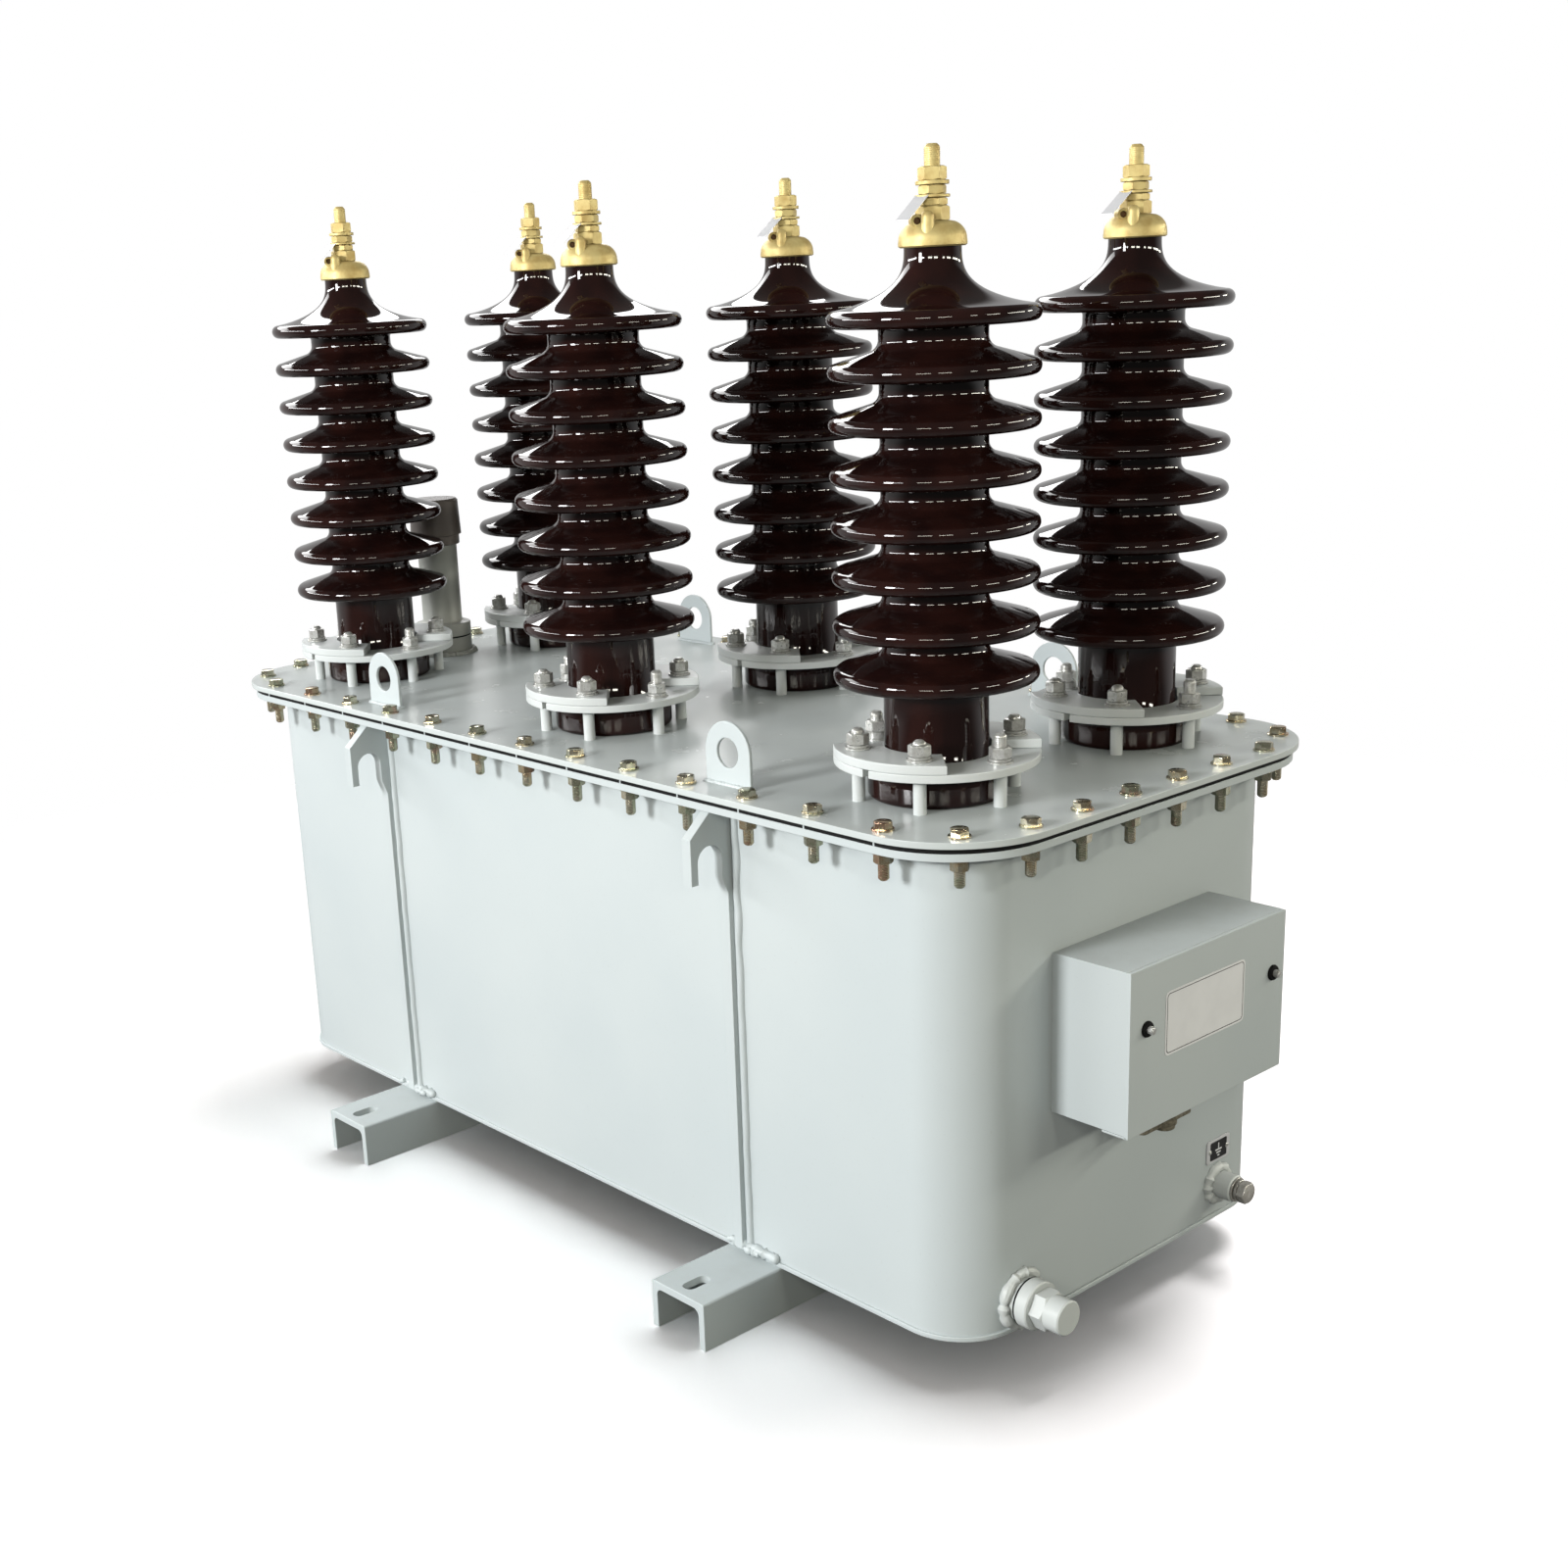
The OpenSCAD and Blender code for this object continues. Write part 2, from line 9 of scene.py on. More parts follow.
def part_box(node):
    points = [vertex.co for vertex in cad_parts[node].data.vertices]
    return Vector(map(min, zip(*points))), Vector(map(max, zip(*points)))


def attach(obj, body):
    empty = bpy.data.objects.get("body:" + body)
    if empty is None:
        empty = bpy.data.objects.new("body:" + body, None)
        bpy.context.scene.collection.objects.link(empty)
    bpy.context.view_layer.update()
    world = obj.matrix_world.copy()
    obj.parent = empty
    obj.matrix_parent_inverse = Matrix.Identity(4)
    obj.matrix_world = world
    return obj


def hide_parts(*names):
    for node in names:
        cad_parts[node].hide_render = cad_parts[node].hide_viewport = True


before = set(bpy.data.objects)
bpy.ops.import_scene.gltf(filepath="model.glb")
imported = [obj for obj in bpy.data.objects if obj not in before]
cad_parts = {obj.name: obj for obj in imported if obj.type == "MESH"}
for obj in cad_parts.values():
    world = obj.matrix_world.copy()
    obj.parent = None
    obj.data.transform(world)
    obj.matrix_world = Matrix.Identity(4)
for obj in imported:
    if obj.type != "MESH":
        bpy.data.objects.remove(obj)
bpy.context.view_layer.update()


# ------------------------------------------------------------------- rails
# Two steel channels lie across under the tank with their open side down.
# They are hot rolled, sawn to length, slotted near each end for the
# holding-down bolts, welded to the tank's floor and painted with it.
mm = 0.001
sunk = 1 * mm
rail_wall = 9.5 * mm
rail_round = 3 * mm
rail_fillet = 8 * mm
slot_width = 18 * mm
slot_length = 38 * mm
slot_from_end = 31 * mm
punch_reach = 30 * mm
sawn_edge = 0.8 * mm


def arc(cx, cy, r, start, end, steps=8):
    """Points of an arc round (cx, cy), between two angles in degrees."""
    angles = [math.radians(start + (end - start) * i / steps) for i in range(steps + 1)]
    return [(cx + r * math.cos(a), cy + r * math.sin(a)) for a in angles]


def moved_in(loop, distance):
    """The outline moved into the material, which lies to its left."""
    moved = []
    for before, here, after in zip(loop[-1:] + loop[:-1], loop, loop[1:] + loop[:1]):
        a = (here - before).normalized()
        b = (after - here).normalized()
        left = Vector((-a.y - b.y, a.x + b.x))
        moved.append(here + left * distance / (1 + a.dot(b)))
    return moved


def between_rows(rows, n, start=0, closed=False):
    """Faces between rows of n points that follow each other."""
    faces = []
    for k in range(rows if closed else rows - 1):
        a, b = start + k * n, start + (k + 1) % rows * n
        for i in range(n):
            j = (i + 1) % n
            faces.append((a + i, a + j, b + j, b + i))
    return faces


def skinned(points, n, closed=False):
    """A solid over rows of n points, with flat ends unless it is closed."""
    faces = between_rows(len(points) // n, n, closed=closed)
    if not closed:
        faces.append(tuple(range(n))[::-1])
        faces.append(tuple(range(len(points) - n, len(points))))
    return points, faces


def cut_plate(loops, low, high, edge=0.0, steps=3):
    """A plate cut to an outline, holes after it, with its rims rounded off.

    The outline runs anticlockwise and the holes clockwise.
    """
    loops = [[Vector(point) for point in loop] for loop in loops]
    turns = [math.pi / 2 * i / steps for i in range(steps + 1)] if edge else [0]
    rims = [(edge * (1 - math.sin(t)), edge * (1 - math.cos(t))) for t in turns]
    levels = [(inset, low + rise) for inset, rise in rims]
    levels += [(inset, high - rise) for inset, rise in reversed(rims)]
    points, faces, foot, top = [], [], [], []
    for loop in loops:
        start = len(points)
        n = len(loop)
        for inset, z in levels:
            points += [(p.x, p.y, z) for p in moved_in(loop, inset)]
        faces += between_rows(len(levels), n, start)
        foot += range(start, start + n)
        top += range(len(points) - n, len(points))
    flat = [[(p.x, p.y, 0) for p in moved_in(loop, edge)] for loop in loops]
    for corners in tessellate_polygon(flat):
        faces.append(tuple(foot[i] for i in corners))
        faces.append(tuple(top[i] for i in corners))
    return points, faces


def placed(place, *shapes):
    """The shapes, all set in one place."""
    return [([tuple(place @ Vector(p)) for p in points], faces) for points, faces in shapes]


def solid(name, shapes):
    """Joins shapes into one mesh object, all faces outwards."""
    points, faces = [], []
    for shape_points, shape_faces in shapes:
        start = len(points)
        points += shape_points
        faces += [tuple(start + i for i in face) for face in shape_faces]
    mesh = bpy.data.meshes.new(name)
    mesh.from_pydata(points, [], faces)
    work = bmesh.new()
    work.from_mesh(mesh)
    bmesh.ops.recalc_face_normals(work, faces=work.faces)
    work.to_mesh(mesh)
    work.free()
    thing = bpy.data.objects.new(name, mesh)
    bpy.context.scene.collection.objects.link(thing)
    return thing


def punched(thing, shapes):
    """The steel with shapes punched out of it."""
    tool = solid("punch", shapes)
    cut = thing.modifiers.new("punch", "BOOLEAN")
    cut.operation = "DIFFERENCE"
    cut.solver = "EXACT"
    cut.object = tool
    bpy.context.view_layer.update()
    seen = thing.evaluated_get(bpy.context.evaluated_depsgraph_get())
    thing.data = bpy.data.meshes.new_from_object(seen)
    thing.modifiers.remove(cut)
    bpy.data.objects.remove(tool)


def piece(name, shapes, finish, nodes=(), sharp=35, even=False, holes=()):
    """A piece of the object, made of shapes, with its finish on it.

    A plate is even: its flats stay flat in the light, up to the round rims.
    """
    thing = solid(name, shapes)
    if holes:
        punched(thing, holes)
    mesh = thing.data
    mesh.shade_smooth()
    mesh.set_sharp_from_angle(angle=math.radians(sharp))
    mesh.materials.clear()
    mesh.materials.append(finish.material)
    if even:
        thing.modifiers.new("even", "WEIGHTED_NORMAL").keep_sharp = True
    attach(thing, "root")
    if nodes:
        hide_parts(*nodes)


class Wire:
    """One value or colour on its way through a finish."""

    def __init__(self, finish, socket):
        self.finish = finish
        self.socket = socket

    def sum(self, operation, *values):
        return self.finish.node("ShaderNodeMath", {"operation": operation},
                                dict(enumerate(values)))

    def __add__(self, other):
        return self.sum("ADD", self, other)

    def __sub__(self, other):
        return self.sum("SUBTRACT", self, other)

    def __rsub__(self, other):
        return self.sum("SUBTRACT", other, self)

    def __mul__(self, other):
        return self.sum("MULTIPLY", self, other)

    __radd__ = __add__
    __rmul__ = __mul__

    def between(self, low, high):
        """0 where the value is at low or beyond, 1 at high, smooth between."""
        settings = {"interpolation_type": "SMOOTHSTEP"}
        return self.finish.node("ShaderNodeMapRange", settings,
                                {"Value": self, "From Min": low, "From Max": high})


class Finish:
    """A surface finish: one material, or a world, and the nodes in it."""

    def __init__(self, name, world=None):
        self.material = world or bpy.data.materials.new(name)
        self.material.use_nodes = True
        self.tree = self.material.node_tree
        self.tree.nodes.clear()

    def node(self, kind, settings=None, sockets=None, output=0):
        """Adds a node with its settings and sockets, and gives its output."""
        made = self.tree.nodes.new(kind)
        for name, value in (settings or {}).items():
            if name == "stops":
                ramp = made.color_ramp.elements
                for stop, (place, colour) in zip(ramp, (value[0], value[-1])):
                    stop.position = place
                    stop.color = colour
                for place, colour in value[1:-1]:
                    ramp.new(place).color = colour
            else:
                setattr(made, name, value)
        for name, value in (sockets or {}).items():
            if isinstance(value, Wire):
                self.tree.links.new(value.socket, made.inputs[name])
            else:
                made.inputs[name].default_value = value
        return Wire(self, made.outputs[output]) if made.outputs else None

    def place(self):
        """The point on the surface, in metres."""
        return self.node("ShaderNodeTexCoord", output="Object")

    def stretched(self, x, y, z):
        """The point on the surface, scaled along each axis."""
        return self.node("ShaderNodeVectorMath", {"operation": "MULTIPLY"},
                         {0: self.place(), 1: (x, y, z)})

    def facing(self, axis):
        """How far the surface faces along an axis, from -1 to 1."""
        normal = self.node("ShaderNodeNewGeometry", output="Normal")
        return self.node("ShaderNodeSeparateXYZ", sockets={0: normal}, output=axis)

    def cloud(self, scale, detail=3.0, place=None, rough=0.5):
        """Soft blotches, 0 to 1, about 1/scale metres apart."""
        return self.node("ShaderNodeTexNoise",
                         sockets={"Vector": place or self.place(), "Scale": scale,
                                  "Detail": detail, "Roughness": rough})

    def mix(self, mask, a, b):
        """Colour a where the mask is 0, colour b where it is 1."""
        return self.node("ShaderNodeMix", {"data_type": "RGBA"}, {0: mask, 6: a, 7: b},
                         output=2)

    def bump(self, height, depth, under=None):
        """Relief of a height map, its depth in metres."""
        sockets = {"Height": height, "Distance": depth, "Strength": 1.0}
        if under:
            sockets["Normal"] = under
        return self.node("ShaderNodeBump", sockets=sockets)

    def gloss(self, **sockets):
        """Ends the finish in one gloss shader."""
        named = {name.replace("_", " "): value for name, value in sockets.items()}
        shader = self.node("ShaderNodeBsdfPrincipled", sockets=named)
        self.node("ShaderNodeOutputMaterial", sockets={"Surface": shader})
        return self

    def plain(self, scale, one, other, **sockets):
        """Ends the finish in one colour that drifts a little to another."""
        return self.gloss(Base_Color=self.mix(self.cloud(scale), one, other), **sockets)


def chip(red, green, blue):
    """A colour from the values on a paint chip, 0 to 255."""
    light = [c / 255 for c in (red, green, blue)]
    return tuple(c / 12.92 if c < 0.04045 else ((c + 0.055) / 1.055) ** 2.4
                 for c in light) + (1.0,)


def enamel(name, colour, thin, dirt, shine):
    """Sprayed enamel: nearly even, with orange peel and a little dust."""
    paint = Finish(name)
    drift = paint.cloud(3.1, 4.0)
    patch = paint.cloud(17.0, 5.0, rough=0.6)
    speck = paint.cloud(420.0, 2.0).between(0.66, 0.74) * 0.35
    base = paint.mix(drift.between(0.3, 0.7), colour, thin)
    dust = paint.facing("Z").between(0.5, 1.0) * patch.between(0.45, 0.75) * 0.12
    base = paint.mix(dust + speck * 0.25, base, dirt)
    peel = paint.bump(paint.cloud(260.0, 2.0), 0.05 * mm)
    relief = paint.bump(paint.cloud(9.0, 2.0), 0.6 * mm, peel)
    return paint.gloss(Base_Color=base, Normal=relief,
                       Roughness=shine + patch * 0.06 + dust * 0.5)


tank_enamel = enamel("tank_enamel", chip(205, 213, 213), chip(199, 208, 209),
                     chip(150, 146, 132), 0.34)

for side in ("left", "right"):
    low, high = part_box("rail_" + side)
    x0, x1 = low.x, high.x
    inner = rail_wall + rail_fillet
    profile = [(x0, 0), (x0 + rail_wall, 0)]
    profile += arc(x0 + inner, high.z - inner, rail_fillet, 180, 90)
    profile += arc(x1 - inner, high.z - inner, rail_fillet, 90, 0)
    profile += [(x1 - rail_wall, 0), (x1, 0)]
    profile += arc(x1 - rail_round, high.z - rail_round, rail_round, 0, 90)
    profile += arc(x0 + rail_round, high.z - rail_round, rail_round, 90, 180)
    lying = Matrix(((1, 0, 0, 0), (0, 0, 1, 0), (0, 1, 0, 0), (0, 0, 0, 1)))
    steel = cut_plate([profile], low.y, high.y, sawn_edge)
    straight = (slot_length - slot_width) / 2
    slot_edge = arc(0, straight, slot_width / 2, 0, 180, 12)
    slot_edge += arc(0, -straight, slot_width / 2, 180, 360, 12)
    punch = cut_plate([slot_edge], high.z - punch_reach, high.z + punch_reach)
    slots = []
    for y in (low.y + slot_from_end, high.y - slot_from_end):
        slots += placed(Matrix.Translation(((x0 + x1) / 2, y, 0)), punch)
    piece(side + "_channel", placed(lying, steel), tank_enamel,
          ["rail_" + side], even=True, holes=slots)


# -------------------------------------------------------------------- tank
# The tank is one sheet of steel bent round four wide corners and welded
# shut, on a floor plate that stands out a little below it. A flange with
# the bolt holes is welded round its mouth. All of it has the rails' enamel.
tank_corner = 75 * mm
floor_lip = 3 * mm
floor_plate = 6 * mm
floor_edge_r = 1.2 * mm
plate_edge = 0.7 * mm
bolt_out_end = 23 * mm
bolt_out_side = 28.5 * mm
flange_margin = 15 * mm
gap_relief = 1.7 * mm


def round_sheet(half_x, half_y, r, steps=20):
    """Outline of a sheet with four round corners, about its middle."""
    x, y = half_x - r, half_y - r
    return (arc(x, y, r, 0, 90, steps) + arc(-x, y, r, 90, 180, steps)
            + arc(-x, -y, r, 180, 270, steps) + arc(x, -y, r, 270, 360, steps))


body_low, body_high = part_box("tank_body")
half_l = body_high.x - floor_lip
half_w = body_high.y - floor_lip
wall = round_sheet(half_l, half_w, tank_corner)
floor_edge = round_sheet(half_l + floor_lip, half_w + floor_lip, tank_corner + floor_lip)
piece("tank_shell",
      [cut_plate([wall], body_low.z + sunk, body_high.z),
       cut_plate([floor_edge], body_low.z, body_low.z + floor_plate, floor_edge_r)],
      tank_enamel, ["tank_body"], even=True)

bolt_corner = tank_corner + (bolt_out_end + bolt_out_side) / 2
bolt_half_l = half_l + bolt_out_end
bolt_half_w = half_w + bolt_out_side


def lid_outline(margin):
    """An outline that follows the lid's bolt line at a given distance."""
    return round_sheet(bolt_half_l + margin, bolt_half_w + margin, bolt_corner + margin)


flange_low, flange_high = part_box("tank_flange")
piece("mouth_flange",
      [cut_plate([lid_outline(flange_margin), wall[::-1]], flange_low.z,
                 flange_high.z - gap_relief, plate_edge)],
      tank_enamel, ["tank_flange"], even=True)


# ------------------------------------------------------------ lid and gasket
# The lid is a flat steel plate cut to the flange's form, on a black rubber
# gasket that ends just inside the flange's edge. It has the same enamel, a
# little glossier, and lies level, so it holds more dust.
lid_margin = 21 * mm
gasket_inset = 1 * mm
gasket_edge = 0.3 * mm

lid_enamel = enamel("lid_enamel", chip(208, 215, 213), chip(203, 210, 209),
                    chip(150, 148, 136), 0.19)
lid_low, lid_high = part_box("lid_plate")
lid_top = lid_high.z
piece("lid_sheet",
      [cut_plate([lid_outline(lid_margin)], lid_low.z + gap_relief, lid_top, plate_edge)],
      lid_enamel, ["lid_plate"], even=True)

rubber = Finish("black_rubber")
rubber.plain(60.0, chip(12, 12, 12), chip(24, 25, 25), Roughness=0.7,
             Specular_IOR_Level=0.2, Normal=rubber.bump(rubber.cloud(500.0), 0.1 * mm))
gasket_low, gasket_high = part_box("lid_gasket")
gap_low, gap_high = gasket_low.z - gap_relief, gasket_high.z + gap_relief
piece("lid_seal",
      [cut_plate([lid_outline(flange_margin - gasket_inset)], gap_low, gap_high, gasket_edge)],
      rubber, ["lid_gasket"], even=True)


# --------------------------------------------------------------- lid bolts
# Yellow-zinc hexagon bolts with washers go down through lid, gasket and
# flange into nuts below, at one pitch on the long sides and a closer one
# on the short sides. Small painted stops on the long sides save the rubber.
bolt_across = 20.7 * mm
bolt_head = 7.5 * mm
bolt_size = 12 * mm
bolt_thread = 1.75 * mm
bolt_pitch_long = 100 * mm
bolt_pitch_short = 82 * mm
long_count = 13
short_count = 6
bolt_end_z = 582 * mm
bolt_end_spread = 3 * mm
bolt_washer_r = 12 * mm
bolt_washer_bore = 5 * mm
top_washer_t = 2.2 * mm
nut_washer_t = 2 * mm
nut_top = 12.4 * mm
thread_start = 10 * mm
stop_r = 1.7 * mm
stop_in = 2.2 * mm


def turned(profile, segments=48, closed=False):
    """A part turned on a lathe from (radius, height) points.

    A closed profile comes back to its start, as a ring's does.
    """
    points, faces, rings = [], [], []
    for r, z in profile:
        start = len(points)
        if r < 1e-7:
            points.append((0, 0, z))
            rings.append([start] * segments)
        else:
            for i in range(segments):
                a = 2 * math.pi * i / segments
                points.append((r * math.cos(a), r * math.sin(a), z))
            rings.append(list(range(start, start + segments)))
    joins = list(zip(rings, rings[1:]))
    if closed:
        joins.append((rings[-1], rings[0]))
    for a, b in joins:
        for i in range(segments):
            j = (i + 1) % segments
            corners = (a[i], a[j], b[j], b[i])
            face = tuple(dict.fromkeys(corners))
            if len(face) > 2:
                faces.append(face)
    return points, faces


def rod(r, low, high, segments=32, foot=0.0, top=0.0):
    """A round bar, with its ends chamfered by foot and by top."""
    profile = [(0, low), (r - foot, low), (r, low + foot), (r, high - top),
               (r - top, high), (0, high)]
    return turned(list(dict.fromkeys(profile)), segments)


def hexagon(across, low, high, foot=1.0, top=0.95, segments=48):
    """A hexagon across its corners; foot and top are the turned chamfers.

    A chamfer's number is its radius at the face as a share of the flat's.
    """
    flat = across / 2 * math.cos(math.radians(30))
    slope = math.tan(math.radians(30))

    def levels(share, z, step):
        if share >= 1.0:
            return [(z, 1.0)]
        drop = (across / 2 - share * flat) * slope
        return [(z + step * drop * i / 4, share * flat + drop * i / 4 / slope)
                for i in range(5)]

    rings = levels(foot, low, 1) + levels(top, high, -1)[::-1]
    points = []
    for z, limit in rings:
        for i in range(segments):
            a = 2 * math.pi * i / segments
            off = (a + math.pi / 6) % (math.pi / 3) - math.pi / 6
            r = min(flat / math.cos(off), limit)
            points.append((r * math.cos(a), r * math.sin(a), z))
    return skinned(points, segments)


def washer(r, inner, low, high, segments=32):
    """A flat washer with softened edges."""
    soft = min(0.4 * mm, (high - low) / 3)
    return turned([(inner, low), (r - soft, low), (r, low + soft), (r, high - soft),
                   (r - soft, high), (inner, high)], segments, closed=True)


def threaded(diameter, pitch, low, high, segments=20):
    """A threaded rod's end, upwards from low, rounded at its tip."""
    r = diameter / 2
    depth = 0.15 * pitch
    rings = int((high - low) / pitch * 4) + 1
    points = []
    for k in range(rings + 1):
        z = low + (high - low) * k / rings
        tip = r * (1 - 0.4 * max(0.0, 1 - (high - z) / (0.6 * r)) ** 2)
        for i in range(segments):
            turn = i / segments
            wave = abs(((z - low) / pitch - turn) % 1 * 2 - 1)
            radius = min(r - depth * wave, tip)
            a = 2 * math.pi * turn
            points.append((radius * math.cos(a), radius * math.sin(a), z))
    return skinned(points, segments)


def at(x, y, z=0.0, turn=0.0, over=False):
    """A place on the part: a point, a turn about Z, and upside down or not."""
    place = Matrix.Translation((x, y, z)) @ Matrix.Rotation(turn, 4, "Z")
    return place @ Matrix.Rotation(math.pi, 4, "X") if over else place


yellow_zinc = Finish("yellow_zinc")
hue = yellow_zinc.cloud(19.0, 2.0)
sheen = yellow_zinc.node("ShaderNodeValToRGB",
                         {"stops": [(0.30, chip(204, 168, 142)), (0.42, chip(208, 193, 158)),
                                    (0.52, chip(218, 212, 190)), (0.62, chip(184, 189, 160)),
                                    (0.72, chip(205, 179, 159))]},
                         {"Fac": hue + (yellow_zinc.cloud(210.0, 2.0) - 0.5) * 0.35})
grime = yellow_zinc.cloud(320.0, 3.0).between(0.5, 0.75) * 0.4
yellow_zinc.gloss(Base_Color=yellow_zinc.mix(grime, sheen, chip(84, 72, 54)),
                  Metallic=0.88, Roughness=0.14 + grime * 0.5,
                  Normal=yellow_zinc.bump(yellow_zinc.cloud(500.0), 0.02 * mm))

long_xs = [(i - (long_count - 1) / 2) * bolt_pitch_long for i in range(long_count)]
short_ys = [(i - (short_count - 1) / 2) * bolt_pitch_short for i in range(short_count)]
corner_in = bolt_corner * (1 - math.sqrt(0.5))
bolt_places = [(x, s * bolt_half_w) for x in long_xs for s in (-1, 1)]
bolt_places += [(s * bolt_half_l, y) for y in short_ys for s in (-1, 1)]
bolt_places += [(sx * (bolt_half_l - corner_in), sy * (bolt_half_w - corner_in))
                for sx in (-1, 1) for sy in (-1, 1)]
hand = random.Random(42)
heads, nuts = [], []
for x, y in bolt_places:
    here = at(x, y, lid_top, hand.uniform(0, math.pi / 3))
    heads += placed(here, washer(bolt_washer_r, bolt_washer_bore, 0, top_washer_t),
                    hexagon(bolt_across, top_washer_t, top_washer_t + bolt_head))
    below = at(x, y, flange_low.z, hand.uniform(0, math.pi / 3), over=True)
    reach = flange_low.z - bolt_end_z - hand.uniform(0, bolt_end_spread)
    nuts += placed(below, washer(bolt_washer_r, bolt_washer_bore, 0, nut_washer_t),
                   hexagon(bolt_across, nut_washer_t, nut_top, 0.97, 0.95),
                   threaded(bolt_size, bolt_thread, thread_start, reach))
piece("lid_bolt_heads", heads, yellow_zinc)
piece("lid_bolt_nuts", nuts, yellow_zinc)

stops = []
for x, y in bolt_places[:2 * len(long_xs)]:
    from_corner = Vector((max(0, abs(x) - bolt_half_l + bolt_corner),
                          max(0, abs(y) - bolt_half_w + bolt_corner)))
    out = from_corner.normalized() * (flange_margin - stop_in)
    stops += placed(at(x + math.copysign(out.x, x), y + math.copysign(out.y, y)),
                    rod(stop_r, gap_low, gap_high, 12))
piece("gasket_stops", stops, tank_enamel)


# --------------------------------------------------------- hooks and ribs
# Under the flange each long wall has two hooks for the cover's ropes, cut
# from plate. Below its slot the plate runs down to the rail as a narrow
# rib. A painted weld fills the corner beside each rib.
hook_t = 14 * mm
hook_lip = 10.5 * mm
hook_slot = 36 * mm
hook_slot_h = 42 * mm
hook_height = 84 * mm
hook_cut = (34 * mm, 30 * mm)
hook_leg = 20 * mm
hook_edge = 0.9 * mm
rib_out = 9 * mm
bead_step = 0.55
bead_swell = 0.16
bead_wave = 1.9
weld_leg = (11 * mm, 5 * mm)
weld_leg_swell = 0.18
weld_leg_waves = 28
weld_depth = 5 * mm
weld_depth_swell = 0.12
weld_depth_waves = 60
weld_root = 2 * mm
weld_rows = 91
weld_shape = ((1, 0), (0.95, 0.5), (0.8, 0.88), (0.6, 1), (0.38, 0.97), (0.18, 0.6), (0, 0.42))
foot_beads = ((6 * mm, 0.35), (4.5 * mm, 0.35), (5 * mm, 0.25))


def weld_bead(path, r, seed, closed=False, lumps=0.12):
    """A lumpy weld along a path, half sunk in the steel."""
    sides = 10
    shaky = random.Random(seed)
    line = [Vector(p) for p in path]
    if closed:
        line.append(line[0].copy())
    steps = []
    for a, b in zip(line, line[1:]):
        count = max(1, round((b - a).length / (r * bead_step)))
        steps += [a.lerp(b, i / count) for i in range(count)]
    if not closed:
        steps.append(line[-1])
    points = []
    n = len(steps)
    for k, here in enumerate(steps):
        before = steps[k - 1] if closed or k else here
        after = steps[(k + 1) % n] if closed or k < n - 1 else here
        along = (after - before).normalized()
        turn = along.to_track_quat("Z", "Y").to_matrix()
        swell = r * (1 + bead_swell * math.sin(k * bead_wave) + shaky.uniform(-lumps, lumps))
        if not closed:
            swell *= min(1, 0.5 + 0.25 * min(k, n - 1 - k))
        for i in range(sides):
            a = 2 * math.pi * i / sides
            points.append(tuple(here + turn @ Vector((swell * math.cos(a),
                                                      swell * math.sin(a), 0))))
    return skinned(points, sides, closed)


def rib_fillet(face, out, side, bottom, top, seed):
    """The weld between a rib's face and the wall, which swells and shrinks."""
    leg = weld_leg[0] if out > 0 else weld_leg[1]
    points = []
    for k in range(weld_rows):
        z = bottom + (top - bottom) * k / (weld_rows - 1)
        wide = leg * (1 + weld_leg_swell * noise.noise((z * weld_leg_waves, seed, out)))
        deep = weld_depth * (1 + weld_depth_swell * noise.noise((z * weld_depth_waves, out, 3)))
        points += [(face + out * wide * across, side * (half_w + deep * height), z)
                   for across, height in weld_shape]
        points.append((face - out * weld_root, side * (half_w - weld_root), z))
    return skinned(points, len(weld_shape) + 1)


hooks = [(row, column, side) for row, side in (("front", -1), ("rear", 1))
         for column in ("left", "right")]
for seed, (row, column, side) in enumerate(hooks, 1):
    node = "hook_%s_%s" % (row, column)
    low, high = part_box(node)
    reach = high.y - low.y
    top = high.z
    lip_z = top - hook_height
    slot_in = reach - hook_lip - hook_slot
    round_z = lip_z + hook_slot_h - hook_slot / 2
    outline = [(-sunk, low.z), (rib_out, low.z), (rib_out, lip_z - hook_leg), (slot_in, lip_z)]
    outline += arc(slot_in + hook_slot / 2, round_z, hook_slot / 2, 180, 0, 16)
    outline += [(reach - hook_lip, lip_z), (reach, lip_z), (reach, top - hook_cut[1]),
                (reach - hook_cut[0], top), (-sunk, top)]
    upright = Matrix(((0, 0, side, (low.x + high.x) / 2), (side, 0, 0, side * half_w),
                      (0, 1, 0, 0), (0, 0, 0, 1)))
    steel = cut_plate([outline], -hook_t / 2, hook_t / 2, hook_edge)
    piece("%s_%s_hook" % (row, column), placed(upright, steel), tank_enamel,
          [node], even=True)
    beads = [rib_fillet(face, out, side, low.z + 4 * mm, top - 1 * mm, seed)
             for face, out in ((high.x, 1), (low.x, -1))]
    # beads at the rib's foot: across it, beside it, and at the rail's edge
    rail_low, rail_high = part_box("rail_" + column)
    y, z = side * (half_w + 2 * mm), low.z + 3 * mm
    runs = [((low.x - 12 * mm, y, z), (rail_high.x - 3 * mm, y, z)),
            ((high.x, side * (half_w + 7 * mm), z - 2 * mm),
             (high.x + 26 * mm, side * (half_w + 6 * mm), z - 2 * mm)),
            ((rail_low.x - 1 * mm, y, z - 4 * mm), (rail_low.x + 9 * mm, y, z))]
    for i, (run, (r, lumps)) in enumerate(zip(runs, foot_beads)):
        beads.append(weld_bead(run, r, seed + 20 + 10 * i, lumps=lumps))
    piece("%s_%s_rib_weld" % (row, column), beads, tank_enamel, sharp=60)


